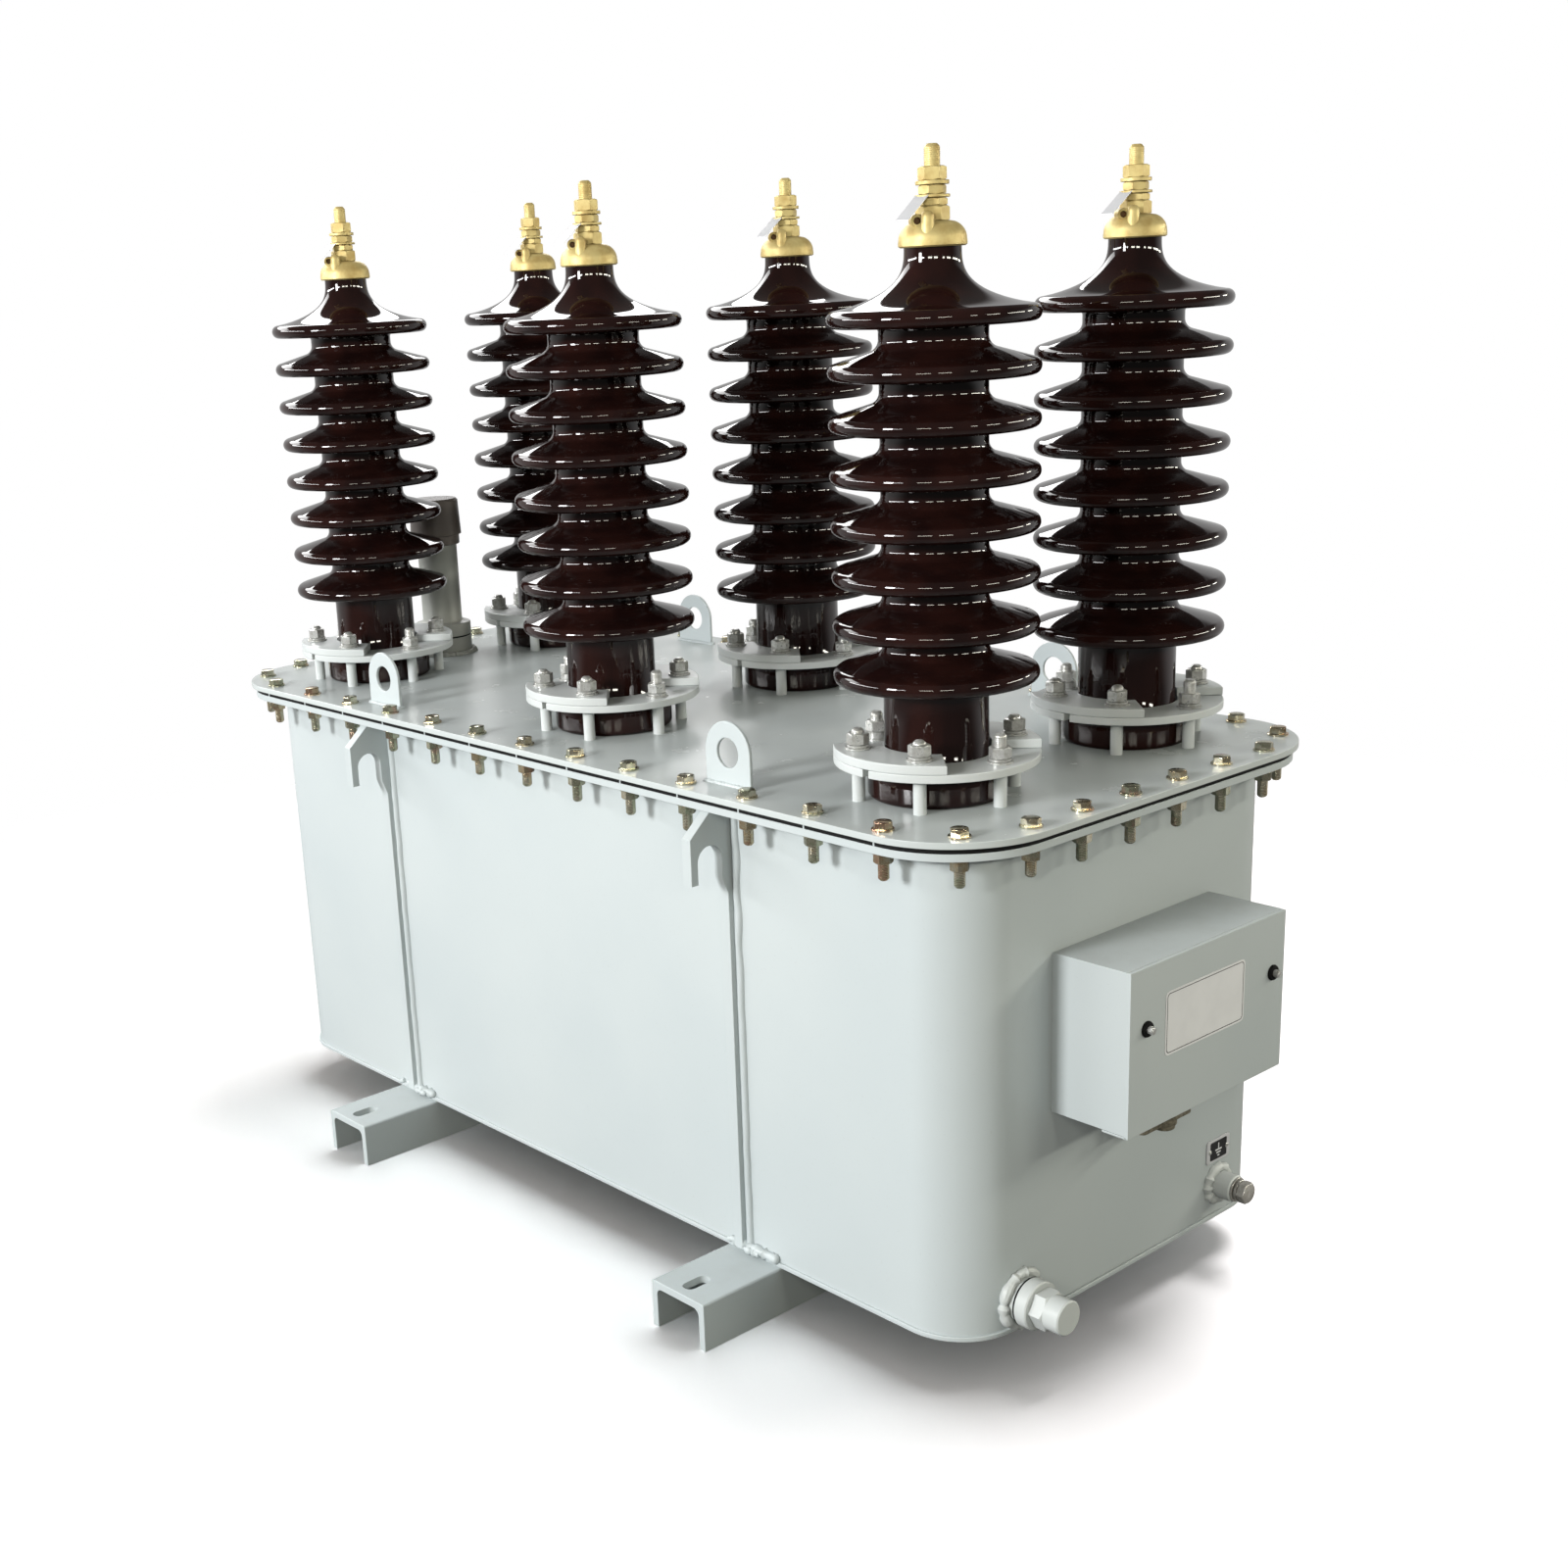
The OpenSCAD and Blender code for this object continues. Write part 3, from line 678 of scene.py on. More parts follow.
# -------------------------------------------------------------- lid lugs
# Four upright plates with a round top and a shackle hole are welded to the
# lid, to lift it with the windings that hang from it.
lug_r = 36 * mm
lug_hole_z = 37 * mm
lug_hole = 34 * mm
lug_edge = 1.2 * mm
lug_weld_r = 3.2 * mm
lug_weld_seeds = {"front_left": 14, "front_right": 16, "rear_left": 13, "rear_right": 15}
for corner, seed in lug_weld_seeds.items():
    low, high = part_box("lug_" + corner)
    middle = (low + high) / 2
    thick = (high.y - low.y) / 2
    outline = [(-lug_r, -sunk), (lug_r, -sunk)] + arc(0, lug_hole_z, lug_r, 0, 180, 32)
    eye = arc(0, lug_hole_z, lug_hole / 2, 360, 0, 32)[:-1]
    upright = Matrix(((1, 0, 0, middle.x), (0, 0, -1, middle.y), (0, 1, 0, lid_top),
                      (0, 0, 0, 1)))
    steel = cut_plate([outline, eye], -thick, thick, lug_edge)
    piece(corner + "_lug", placed(upright, steel), tank_enamel,
          ["lug_" + corner], even=True)
    x, y = lug_r + 1 * mm, thick
    ring = [(middle.x - x, middle.y - y, lid_top), (middle.x + x, middle.y - y, lid_top),
            (middle.x + x, middle.y + y, lid_top), (middle.x - x, middle.y + y, lid_top)]
    piece(corner + "_lug_weld", [weld_bead(ring, lug_weld_r, seed, closed=True)],
          tank_enamel, sharp=60)


# -------------------------------------------------------------- porcelain
# Six upright bushings of dark brown glazed porcelain stand on the lid, cast
# in one piece with eight sheds. Each shed falls evenly to its round rim, and
# the uppermost one runs up in a hollow curve to the terminal.
shed_r = 108 * mm
shed_count = 8
shed_pitch = 51.8 * mm
shed_rim = 8.7 * mm
shed_fall = 16.5
shed_hollow = 11.8 * mm
shed_fillet = 4 * mm
shed_arch = 3 * mm
neck_r = 55.5 * mm
first_shed = 132 * mm
foot_r = 74 * mm
foot_h = 38 * mm
foot_round = 6 * mm
foot_edge = 1 * mm
foot_fillet = 2 * mm
foot_middle = 20 * mm
neck_middle = 80 * mm
top_r = 28.7 * mm
top_h = 66 * mm
top_hollow = 2.9
top_rise = 1.16


def shed_edge(z, last):
    """Outline under a shed and round its rim, up to the angle last."""
    bottom = z - shed_rim
    under = [(neck_r, bottom - shed_fillet),
             (neck_r + 0.3 * shed_fillet, bottom - 0.3 * shed_fillet),
             (neck_r + shed_fillet, bottom + 0.25 * shed_fillet)]
    under += [(neck_r + (shed_r - shed_rim - neck_r) * t,
               bottom + shed_arch * math.sin(math.pi * t) * (1 - 0.3 * t))
              for t in (0.25, 0.5, 0.75)]
    return under + arc(shed_r - shed_rim, z, shed_rim, -90, last, 14)


def shed(z):
    """Outline of one shed: the rim, an even fall, a hollow into the neck."""
    fall = math.radians(shed_fall)
    hollow_r = neck_r + shed_hollow
    fall_r = shed_r - shed_rim + shed_rim * math.sin(fall)
    hollow_z = (z + shed_rim * math.cos(fall) + (fall_r - hollow_r) * math.tan(fall)
                + shed_hollow / math.cos(fall))
    return shed_edge(z, 90 - shed_fall) + arc(hollow_r, hollow_z, shed_hollow,
                                              270 - shed_fall, 180, 10)


def top_shed(z):
    """Outline of the uppermost shed, up to the porcelain's top end."""
    run = shed_r - shed_rim - top_r
    rise = top_h - shed_rim
    slope = [(top_r + run * (1 - t) ** top_hollow, z + shed_rim + rise * t ** top_rise)
             for t in (i / 18 for i in range(1, 19))]
    return shed_edge(z, 90) + slope


outline = [(0, 0)] + arc(foot_r - foot_round, foot_round, foot_round, -90, 0, 6)
outline += [(foot_r, foot_middle), (foot_r, foot_h - foot_edge), (foot_r - foot_edge, foot_h)]
outline += [(neck_r + foot_fillet, foot_h), (neck_r, foot_h + foot_fillet),
            (neck_r, neck_middle)]
for i in range(shed_count - 1):
    outline += shed(first_shed + i * shed_pitch)
top_rim = first_shed + (shed_count - 1) * shed_pitch
outline += top_shed(top_rim)
outline += [(0, top_rim + top_h)]

glaze = Finish("brown_glaze")
flow = glaze.cloud(24.0, 3.0, glaze.stretched(1, 1, 0.35))
fleck = glaze.cloud(900.0, 2.0).between(0.7, 0.8) * 0.5
body = glaze.mix(flow.between(0.3, 0.7), chip(27, 14, 13), chip(41, 21, 18))
glaze.gloss(Base_Color=glaze.mix(fleck, body, chip(18, 9, 8)),
            Roughness=0.03 + 0.03 * glaze.cloud(40.0), Specular_IOR_Level=0.5,
            Normal=glaze.bump(flow, 0.1 * mm))

phases = ["%s_%s" % (row, column) for row in ("front", "rear")
          for column in ("left", "middle", "right")]
centres = []
for phase in phases:
    low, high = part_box("bushing_" + phase)
    x, y = (low.x + high.x) / 2, (low.y + high.y) / 2
    centres.append((phase, x, y))
    piece(phase + "_porcelain", placed(at(x, y, lid_top), turned(outline, 96)), glaze,
          ["bushing_" + phase], sharp=50)


# --------------------------------------------------------- bushing clamps
# Two half rings of plate press each porcelain foot on the lid. Plates
# bridge the gaps between the halves, and six studs with zinc-plated nuts
# draw each ring down. The rings are painted a pale grey.
ring_z = 38 * mm
ring_t = 9 * mm
ring_r = 110 * mm
ring_bore = 58 * mm
ring_gap = 8 * mm
ring_edge = 1.2 * mm
bridge_t = 10 * mm
bridge_span = 94
stud_size = 14 * mm
stud_ring = 87 * mm
stud_count = 6
stud_thread = 2 * mm
stud_tip = 80 * mm
stud_tip_spread = 2.5 * mm
stud_nut = 24.2 * mm
stud_nut_h = 12 * mm
stud_bore = 6 * mm
flat_washer_r = 14 * mm
flat_washer_t = 2.4 * mm
spring_r = 12 * mm
spring_up = 5.2 * mm
packed_up = 9.5 * mm

ring_enamel = enamel("ring_enamel", chip(220, 224, 222), chip(212, 218, 217),
                     chip(150, 146, 134), 0.30)
outer_a = math.degrees(math.asin(ring_gap / 2 / ring_r))
inner_a = math.degrees(math.asin(ring_gap / 2 / ring_bore))
half = arc(0, 0, ring_r, -90 + outer_a, 90 - outer_a, 48)
half += arc(0, 0, ring_bore, 90 - inner_a, -90 + inner_a, 40)
half_ring = cut_plate([half], 0, ring_t, ring_edge)
bridges = []
for phase, x, y in centres:
    seat = lid_top + ring_z
    halves = placed(at(x, y, seat), half_ring) + placed(at(x, y, seat, math.pi), half_ring)
    piece(phase + "_clamp_ring", halves, ring_enamel, ["clamp_" + phase],
          even=True)
    for middle in (90, -90):
        a, b = middle - bridge_span / 2, middle + bridge_span / 2
        bar = arc(0, 0, ring_r, a, b, 32) + arc(0, 0, ring_bore, b, a, 28)
        bridges += placed(at(x, y, seat + ring_t), cut_plate([bar], 0, bridge_t, ring_edge))
piece("clamp_bridge_plates", bridges, ring_enamel, ["clamp_bridges"], even=True)

bright_zinc = Finish("bright_zinc")
bloom = bright_zinc.cloud(150.0, 4.0, rough=0.6)
bright_zinc.gloss(Base_Color=bright_zinc.mix(bloom.between(0.4, 0.75), chip(224, 225, 221),
                                             chip(186, 185, 178)),
                  Metallic=0.6, Roughness=0.22 + 0.14 * bloom,
                  Normal=bright_zinc.bump(bright_zinc.cloud(800.0), 0.05 * mm))
studs, fasteners = [], []
for _, x, y in centres:
    for i in range(stud_count):
        a = 2 * math.pi * i / stud_count
        here = at(x + stud_ring * math.cos(a), y + stud_ring * math.sin(a), lid_top,
                  hand.uniform(0, math.pi / 3))
        on_bridge = i % 3 != 0
        seat = ring_z + ring_t + (bridge_t if on_bridge else 0)
        foot = seat + (spring_up if on_bridge or i == 0 else packed_up)
        studs += placed(here, rod(stud_size / 2, 0, seat, 28))
        fasteners += placed(here, washer(flat_washer_r, stud_bore, seat, seat + flat_washer_t),
                            washer(spring_r, stud_bore, seat + flat_washer_t, foot),
                            hexagon(stud_nut, foot, foot + stud_nut_h, 0.96, 0.94),
                            threaded(stud_size, stud_thread, foot + stud_nut_h - 2 * mm,
                                     stud_tip - hand.uniform(0, stud_tip_spread), 24))
piece("clamp_stud_shanks", studs, ring_enamel, ["clamp_studs"])
piece("clamp_nuts", fasteners, bright_zinc)


# -------------------------------------------------------------- terminals
# A cast brass cap sits on each bushing, with two hexagons to hold it by, a
# cast boss with a bleed screw on one side, and a threaded stud. Two nuts
# with washers are on the stud, over a blank tag of thin bent sheet.
cap_r = 34.3 * mm
cap_edge = 7 * mm
cap_h = 25 * mm
cap_shoulder = 15 * mm
stack = [("hexagon", 34.2 * mm, 24 * mm, 39 * mm), ("hexagon", 30 * mm, 38.5 * mm, 46.5 * mm),
         ("washer", 17.5 * mm, 46.5 * mm, 49.3 * mm),
         ("hexagon", 28.6 * mm, 49.3 * mm, 58.7 * mm),
         ("washer", 16.7 * mm, 58.7 * mm, 62.5 * mm),
         ("hexagon", 28.6 * mm, 62.5 * mm, 76 * mm)]
stack_turns = (8, 2, 0, 24, 0, 6)
stack_bore = 5 * mm
pin_size = 16 * mm
pin_thread = 2 * mm
cap_front = math.radians(50)
bleed_x, bleed_z = -18 * mm, 25 * mm
boss_x, boss_out = -8.5 * mm, 25 * mm
tag_half = 8.5 * mm
tag_t = 0.8 * mm
tag_z = stack[2][3]
tag_turn = -93


def in_mm(*points):
    """Points, such as a turned profile's, from lengths in millimetres."""
    return [(a * mm, b * mm) for a, b in points]


brass = Finish("cast_brass")
stain = brass.cloud(55.0, 5.0, rough=0.62)
brass.gloss(Base_Color=brass.mix(stain.between(0.35, 0.75), chip(221, 202, 138),
                                 chip(196, 168, 102)),
            Metallic=0.4, Roughness=0.4 + 0.15 * stain,
            Normal=brass.bump(brass.cloud(120.0, 2.0), 0.04 * mm))
bronze = Finish("dull_bronze").plain(300.0, chip(112, 80, 44), chip(72, 50, 30),
                                     Metallic=0.5, Roughness=0.5)
tag_metal = Finish("tag_sheet").plain(90.0, chip(240, 241, 243), chip(226, 227, 230),
                                      Metallic=0.3, Roughness=0.34)

dome = [(0, 0), (cap_r - 2 * mm, 0), (cap_r, 1.5 * mm), (cap_r, cap_edge - 2 * mm)]
for i in range(13):
    t = i / 12
    dome.append((cap_r - 0.4 * mm - (cap_r - cap_shoulder) * (1 - math.sqrt(1 - t * t)),
                 cap_edge + (cap_h - cap_edge) * t))
dome += [(0, cap_h)]
boss = turned(in_mm((0, 2), (6.5, 2), (6.5, 28), (5.8, 31), (3.6, 33.4), (0, 34.3)), 32)
socket = turned(in_mm((0, 4), (6.4, 4), (6.4, 20), (5.6, 21), (3.6, 21), (3.4, 18), (0, 18)), 32)
bleed = turned(in_mm((0, 17), (3.3, 17), (3.3, 19), (2.6, 19.6), (0, 19.6)), 24)
sheet = [(x, y, z) for x, z in in_mm((6, 0), (15, 0), (45, -23)) for y in (-tag_half, tag_half)]
sheet += [(x, y, z - tag_t) for x, y, z in sheet]
tag = (sheet, [(0, 1, 3, 2), (2, 3, 5, 4), (6, 7, 9, 8), (8, 9, 11, 10), (0, 1, 7, 6),
               (4, 5, 11, 10), (0, 2, 8, 6), (2, 4, 10, 8), (1, 3, 9, 7), (3, 5, 11, 9)])
to_front = Matrix.Rotation(cap_front, 4, "Z")
boss_place = to_front @ Matrix.Translation((boss_x, -boss_out, 0))
bleed_place = (to_front @ Matrix.Translation((bleed_x, 0, bleed_z))
               @ Matrix.Rotation(math.pi / 2, 4, "X"))
tags, bleeds = [], []
for phase, x, y in centres:
    low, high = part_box("terminal_" + phase)
    here = at(x, y, low.z)
    turn = hand.uniform(-4, 4)
    parts = [turned(dome, 64)]
    for (kind, size, z0, z1), angle in zip(stack, stack_turns):
        if kind == "washer":
            parts.append(washer(size, stack_bore, z0, z1, 48))
        else:
            parts += placed(Matrix.Rotation(math.radians(angle + turn), 4, "Z"),
                            hexagon(size, z0, z1, 0.97, 0.94))
    parts.append(threaded(pin_size, pin_thread, stack[-1][3] - 2 * mm, high.z - low.z, 28))
    parts += placed(boss_place, boss) + placed(bleed_place, socket)
    piece(phase + "_cap", placed(here, *parts), brass, ["terminal_" + phase])
    bleeds += placed(here @ bleed_place, bleed)
    tags += placed(at(x, y, low.z + tag_z, math.radians(tag_turn + turn)), tag)
piece("terminal_bleed_screws", bleeds, bronze)
piece("terminal_tags", tags, tag_metal)


# ------------------------------------------------------------ terminal box
# The secondary leads end in a folded sheet-steel box on the end wall. Its
# cover is held by two studs with rubber washers, and folds back below the
# box. A plain plate with a thin border is stuck to the cover.
case_edge = 0.8 * mm
cover_edge = 1.5 * mm
cover_lip = 33 * mm
cover_lip_t = 3 * mm
cover_lip_in = 2 * mm
cover_lip_edge = 1 * mm
plate_half = (71.5 * mm, 36 * mm)
plate_middle = (-7.5 * mm, 408 * mm)
plate_corner = 6 * mm
plate_t = 0.4 * mm
line_t = 0.5 * mm
line_outside = (2.4 * mm, 4.5 * mm)
line_inside = (3.2 * mm, 4 * mm)
cover_studs = (-111.6 * mm, 117.5 * mm)
cover_stud_z = 413 * mm


def block(low, high, edge):
    """A block of sheet steel between two corners, its rims at top and bottom rounded off."""
    loop = [(low[0], low[1]), (high[0], low[1]), (high[0], high[1]), (low[0], high[1])]
    return cut_plate([loop], low[2], high[2], edge, 2)


low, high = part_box("terminal_box")
piece("box_case", [block(low, high, case_edge)], tank_enamel,
      ["terminal_box"], even=True)
cover_low, cover_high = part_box("box_cover")
face_x = cover_high.x
piece("box_front",
      [block((high.x, low.y, cover_low.z), cover_high, cover_edge),
       block((face_x - cover_lip, cover_low.y, cover_low.z),
             (face_x - cover_lip_in, cover_high.y, cover_low.z + cover_lip_t),
             cover_lip_edge)],
      tank_enamel, ["box_cover"], even=True)


def flat_on_end(y, z):
    """A place for a plate against an end, drawn along Y and up."""
    return Matrix(((0, 0, 1, 0), (1, 0, 0, y), (0, 1, 0, z), (0, 0, 0, 1)))


def out_of_end(x, y, z):
    """A place for a turned part that points straight out of an end."""
    return Matrix.Translation((x, y, z)) @ Matrix.Rotation(math.pi / 2, 4, "Y")


def plate_loop(inset, r):
    """The blank plate's outline moved in, with corners of radius r."""
    return round_sheet(plate_half[0] - inset, plate_half[1] - inset, r, 8)


blank_white = Finish("bare_plate")
blank_white.gloss(Base_Color=blank_white.mix(blank_white.cloud(30.0).between(0.3, 0.7),
                                             chip(249, 250, 251), chip(243, 244, 245)),
                  Roughness=0.35)
border_black = Finish("plate_border").plain(200.0, chip(30, 29, 27), chip(46, 45, 42),
                                            Roughness=0.5)
on_cover = flat_on_end(*plate_middle)
blank = cut_plate([plate_loop(0, plate_corner)], face_x - 0.5 * mm, face_x + plate_t)
piece("box_plate", placed(on_cover, blank), blank_white)
line = cut_plate([plate_loop(*line_outside), plate_loop(*line_inside)[::-1]], face_x,
                 face_x + line_t)
piece("box_plate_line", placed(on_cover, line), border_black)

ring = turned(in_mm((0, -1), (8.5, -1), (9, 1.5), (8, 3.5), (5, 4), (0, 4)), 32)
pin = turned(in_mm((0, 3), (4.4, 3), (4.4, 6), (3.1, 6.5), (3.1, 9.5), (2.4, 10.3), (0, 10.3)), 24)
pin_nut = hexagon(9 * mm, 6 * mm, 9.5 * mm, 1.0, 0.94, 24)
rings, pins = [], []
for y in cover_studs:
    out = out_of_end(face_x, y, cover_stud_z)
    rings += placed(out, ring)
    pins += placed(out, pin, pin_nut)
piece("box_stud_washers", rings, rubber)
piece("box_studs", pins, bright_zinc)


# ------------------------------------------------------------------- gland
# The cables leave through a cast gland under the box: a neck, a clamping
# flange with two ears for its screws, and a short nose. A passage runs up
# the middle.
gland_neck_r = 20 * mm
gland_flange_t = 10 * mm
gland_ear_r = 6.5 * mm
gland_hub_r = 14.5 * mm
gland_nose = 5.5 * mm
gland_nose_r = 12.5 * mm
gland_bore = 9 * mm
gland_edge = 1 * mm
gland_screw = 10 * mm
gland_screw_h = 4 * mm

cast = Finish("gland_alloy")
sand = cast.cloud(240.0, 5.0, rough=0.6)
cast.gloss(Base_Color=cast.mix(sand.between(0.35, 0.7), chip(148, 142, 122),
                               chip(110, 105, 90)),
           Metallic=0.5, Roughness=0.5, Normal=cast.bump(sand, 0.3 * mm))
low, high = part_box("cable_gland")
middle = (low + high) / 2
here = at(middle.x, middle.y)
ear_y = (high.y - low.y) / 2 - gland_ear_r
z0, z3 = low.z, high.z
z1 = z0 + gland_nose
z2 = z1 + gland_flange_t
pipe = turned([(gland_bore, z0), (gland_nose_r - gland_edge, z0),
               (gland_nose_r, z0 + gland_edge), (gland_nose_r, z2),
               (gland_neck_r - gland_edge, z2 + 0.1 * mm), (gland_neck_r, z2 + gland_edge),
               (gland_neck_r, z3), (gland_bore, z3)], 64, closed=True)
side_a = math.degrees(math.asin(gland_ear_r / gland_hub_r))
flange = arc(0, ear_y, gland_ear_r, 0, 180, 16)
flange += arc(0, 0, gland_hub_r, 90 + side_a, 270 - side_a, 16)
flange += arc(0, -ear_y, gland_ear_r, 180, 360, 16)
flange += arc(0, 0, gland_hub_r, -90 + side_a, 90 - side_a, 16)
hole = arc(0, 0, gland_nose_r - 0.5 * mm, 360, 0, 32)[:-1]
piece("gland_casting", placed(here, pipe, cut_plate([flange, hole], z1, z2, gland_edge)),
      cast, ["cable_gland"])
screws = []
for side in (-1, 1):
    screws += placed(at(middle.x, middle.y + side * (ear_y - 1 * mm), z2),
                     hexagon(gland_screw, 0, gland_screw_h, segments=24))
piece("gland_screws", screws, bright_zinc)


# ------------------------------------------------------------------- drain
# A round boss welded to the foot of the end wall takes the drain plug: a
# collar, a hexagon and a round end, all sprayed over with the enamel.
drain_boss_r = 26 * mm
drain_sunk = 12 * mm
drain_step = 4 * mm
drain_groove = 2 * mm
plug_collar_r = 28 * mm
plug_collar_l = 16 * mm
plug_hex = 46 * mm
plug_hex_l = 17 * mm
plug_end_r = 20 * mm
plug_edge = 1.5 * mm
drain_shade_ring_r = 27.5 * mm
drain_shade_ring_bore = 12 * mm
drain_weld_r = 6 * mm


def round_weld(r, z, size, seed, count, lumps=0.12):
    """A weld in a ring of radius r, at height z on a round part."""
    path = [(r * math.cos(a), r * math.sin(a), z)
            for a in (2 * math.pi * i / count for i in range(count))]
    return weld_bead(path, size, seed, closed=True, lumps=lumps)


plug_enamel = enamel("plug_enamel", chip(222, 227, 224), chip(212, 218, 216),
                     chip(120, 116, 104), 0.36)
low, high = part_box("drain_plug")
y, z = (low.y + high.y) / 2, (low.z + high.z) / 2
outwards = out_of_end(half_l, y, z)
boss_l = low.x - half_l
boss = turned([(0, -drain_sunk), (drain_boss_r, -drain_sunk),
               (drain_boss_r, boss_l - drain_groove - 0.5 * mm),
               (drain_boss_r - drain_step, boss_l - drain_groove),
               (drain_boss_r - drain_step, boss_l), (0, boss_l)], 48)
bead = round_weld(drain_boss_r + 4 * mm, 1.5 * mm, drain_weld_r, 8, 48, lumps=0.3)
piece("drain_weld_boss", placed(outwards, boss, bead), plug_enamel,
      ["drain_boss"])
# A black ring in the groove between boss and plug is painted shade: it stands for the dark of the
# gap there.
rubber_ring = washer(drain_shade_ring_r, drain_shade_ring_bore, boss_l - drain_groove, boss_l + 0.4 * mm, 48)
piece("drain_gap_shade_ring", placed(outwards, rubber_ring), rubber)
z1 = boss_l + plug_collar_l
z2 = z1 + plug_hex_l
plug = (rod(plug_collar_r, boss_l, z1, 64, 1 * mm, plug_edge),
        hexagon(plug_hex, z1 - 1 * mm, z2, 1.0, 0.96),
        rod(plug_end_r, z2 - 1 * mm, high.x - half_l, 64, top=plug_edge))
piece("drain_plug_body", placed(outwards, *plug), plug_enamel,
      ["drain_plug"])


# ---------------------------------------------------------------- earthing
# A threaded boss on the end wall takes the earthing bolt, a stainless
# hexagon with a flat and a spring washer. A small plate with the common
# sign for earth is riveted above it.
earth_boss_r = 16.5 * mm
earth_weld_r = 6.5 * mm
earth_flat_r = 15 * mm
earth_flat_t = 2.5 * mm
earth_spring_r = 13 * mm
earth_spring = (3.8 * mm, 7 * mm)
earth_bore = 6 * mm
earth_head = 27.7 * mm
earth_shank_r = 9 * mm
earth_washers = 8 * mm
sign_corner = 4 * mm
sign_edge = 0.3 * mm
field_corner = 2 * mm
field_share = (0.36, 0.39)
rivet_share = 0.37
rivet_notch = 3.2 * mm
sign_bars = ((4.5 * mm, 1.6 * mm, 8 * mm), (0, 13 * mm, 1.8 * mm),
             (-3.8 * mm, 8.5 * mm, 1.8 * mm), (-7.6 * mm, 4 * mm, 1.8 * mm))

low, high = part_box("earth_boss")
y, z = (low.y + high.y) / 2, (low.z + high.z) / 2
outwards = out_of_end(half_l, y, z)
boss_l = high.x - half_l
boss = rod(earth_boss_r, -sunk, boss_l, 48, top=1.5 * mm)
bead = round_weld(earth_boss_r + 3 * mm, 1 * mm, earth_weld_r, 5, 36)
piece("earth_weld_boss", placed(outwards, boss, bead), plug_enamel,
      ["earth_boss"])

stainless = Finish("dark_stainless")
smear = stainless.cloud(140.0, 4.0)
stainless.gloss(Base_Color=stainless.mix(smear.between(0.35, 0.7), chip(222, 219, 212),
                                         chip(178, 174, 166)),
                Metallic=0.55, Roughness=0.2 + 0.15 * smear)
bolt = [washer(earth_flat_r, earth_bore, boss_l, boss_l + earth_flat_t),
        washer(earth_spring_r, earth_bore, boss_l + earth_spring[0], boss_l + earth_spring[1]),
        rod(earth_shank_r, boss_l, boss_l + earth_washers + 1 * mm),
        hexagon(earth_head, boss_l + earth_washers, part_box("earth_bolt")[1].x - half_l)]
piece("earth_bolt_set", placed(outwards, *bolt), stainless,
      ["earth_bolt"])

low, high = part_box("earth_plate")
y, z = (low.y + high.y) / 2, (low.z + high.z) / 2
on_wall = flat_on_end(y, z)
plate_l, plate_h = high.y - low.y, high.z - low.z
sheet = cut_plate([round_sheet(plate_l / 2, plate_h / 2, sign_corner, 8)], low.x, high.x,
                  sign_edge, 2)
piece("earth_sign_plate", placed(on_wall, sheet), tag_metal,
      ["earth_plate"])

black_field = Finish("black_field").plain(300.0, chip(12, 12, 12), chip(24, 23, 22),
                                          Roughness=0.3)
corner_y = plate_l * field_share[0] - field_corner
corner_z = plate_h * field_share[1] - field_corner
rivet_y = plate_l * rivet_share
open_a = math.degrees(math.acos((corner_y + field_corner - rivet_y) / rivet_notch))
field_edge = arc(corner_y, corner_z, field_corner, 0, 90)
field_edge += arc(-corner_y, corner_z, field_corner, 90, 180)
field_edge += arc(-rivet_y, 0, rivet_notch, 180 - open_a, open_a - 180)
field_edge += arc(-corner_y, -corner_z, field_corner, 180, 270)
field_edge += arc(corner_y, -corner_z, field_corner, 270, 360)
field_edge += arc(rivet_y, 0, rivet_notch, -open_a, open_a - 360)
field = cut_plate([field_edge], high.x - 0.1 * mm, high.x + 0.15 * mm)
piece("earth_sign_field", placed(on_wall, field), black_field)
bars = []
for up, wide, tall in sign_bars:
    corners = [(-wide / 2, up - tall / 2), (wide / 2, up - tall / 2),
               (wide / 2, up + tall / 2), (-wide / 2, up + tall / 2)]
    bars += placed(on_wall, cut_plate([corners], high.x + 0.05 * mm, high.x + 0.3 * mm))
piece("earth_sign", bars, blank_white)
rivet = turned(in_mm((0, -1), (2.6, -1), (2.6, 0.5), (1.5, 1.4), (0, 1.7)), 16)
rivets = []
for side in (-1, 1):
    rivets += placed(out_of_end(high.x, y + side * rivet_y, z), rivet)
piece("earth_plate_rivets", rivets, bright_zinc)


# ------------------------------------------------------------------ filler
# At the plain end of the lid a short pipe takes the oil. It stands on a
# flange over a welded neck, and its turned cap lifts off.
filler_flange_r = 42.5 * mm
filler_tube_r = 30 * mm
filler_fillet = 6 * mm
filler_neck_h = 26 * mm
filler_flange_t = 19 * mm
filler_cap_r = 35 * mm
filler_rim_r = 38.5 * mm
filler_rim_z = 15 * mm
filler_edge = 1 * mm
filler_seal_bore = 20 * mm
filler_weld_r = 4.5 * mm

pipe_enamel = enamel("pipe_enamel", chip(188, 189, 182), chip(168, 171, 164),
                     chip(96, 88, 78), 0.36)
cap_enamel = enamel("cap_enamel", chip(120, 112, 106), chip(98, 91, 86),
                    chip(70, 62, 56), 0.36)
low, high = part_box("filler_neck")
x, y = (low.x + high.x) / 2, (low.y + high.y) / 2
here = at(x, y, lid_top)
neck_top = high.z - lid_top
neck = rod(filler_flange_r, 0, filler_neck_h, 64, top=filler_edge)
bead = round_weld(filler_flange_r + 3.5 * mm, 1 * mm, filler_weld_r, 11, 64)
piece("filler_weld_neck", placed(here, neck, bead), pipe_enamel,
      ["filler_neck"])
rubber_ring = washer(filler_flange_r - gasket_inset, filler_seal_bore, filler_neck_h - 0.2 * mm,
              neck_top + 0.2 * mm, 64)
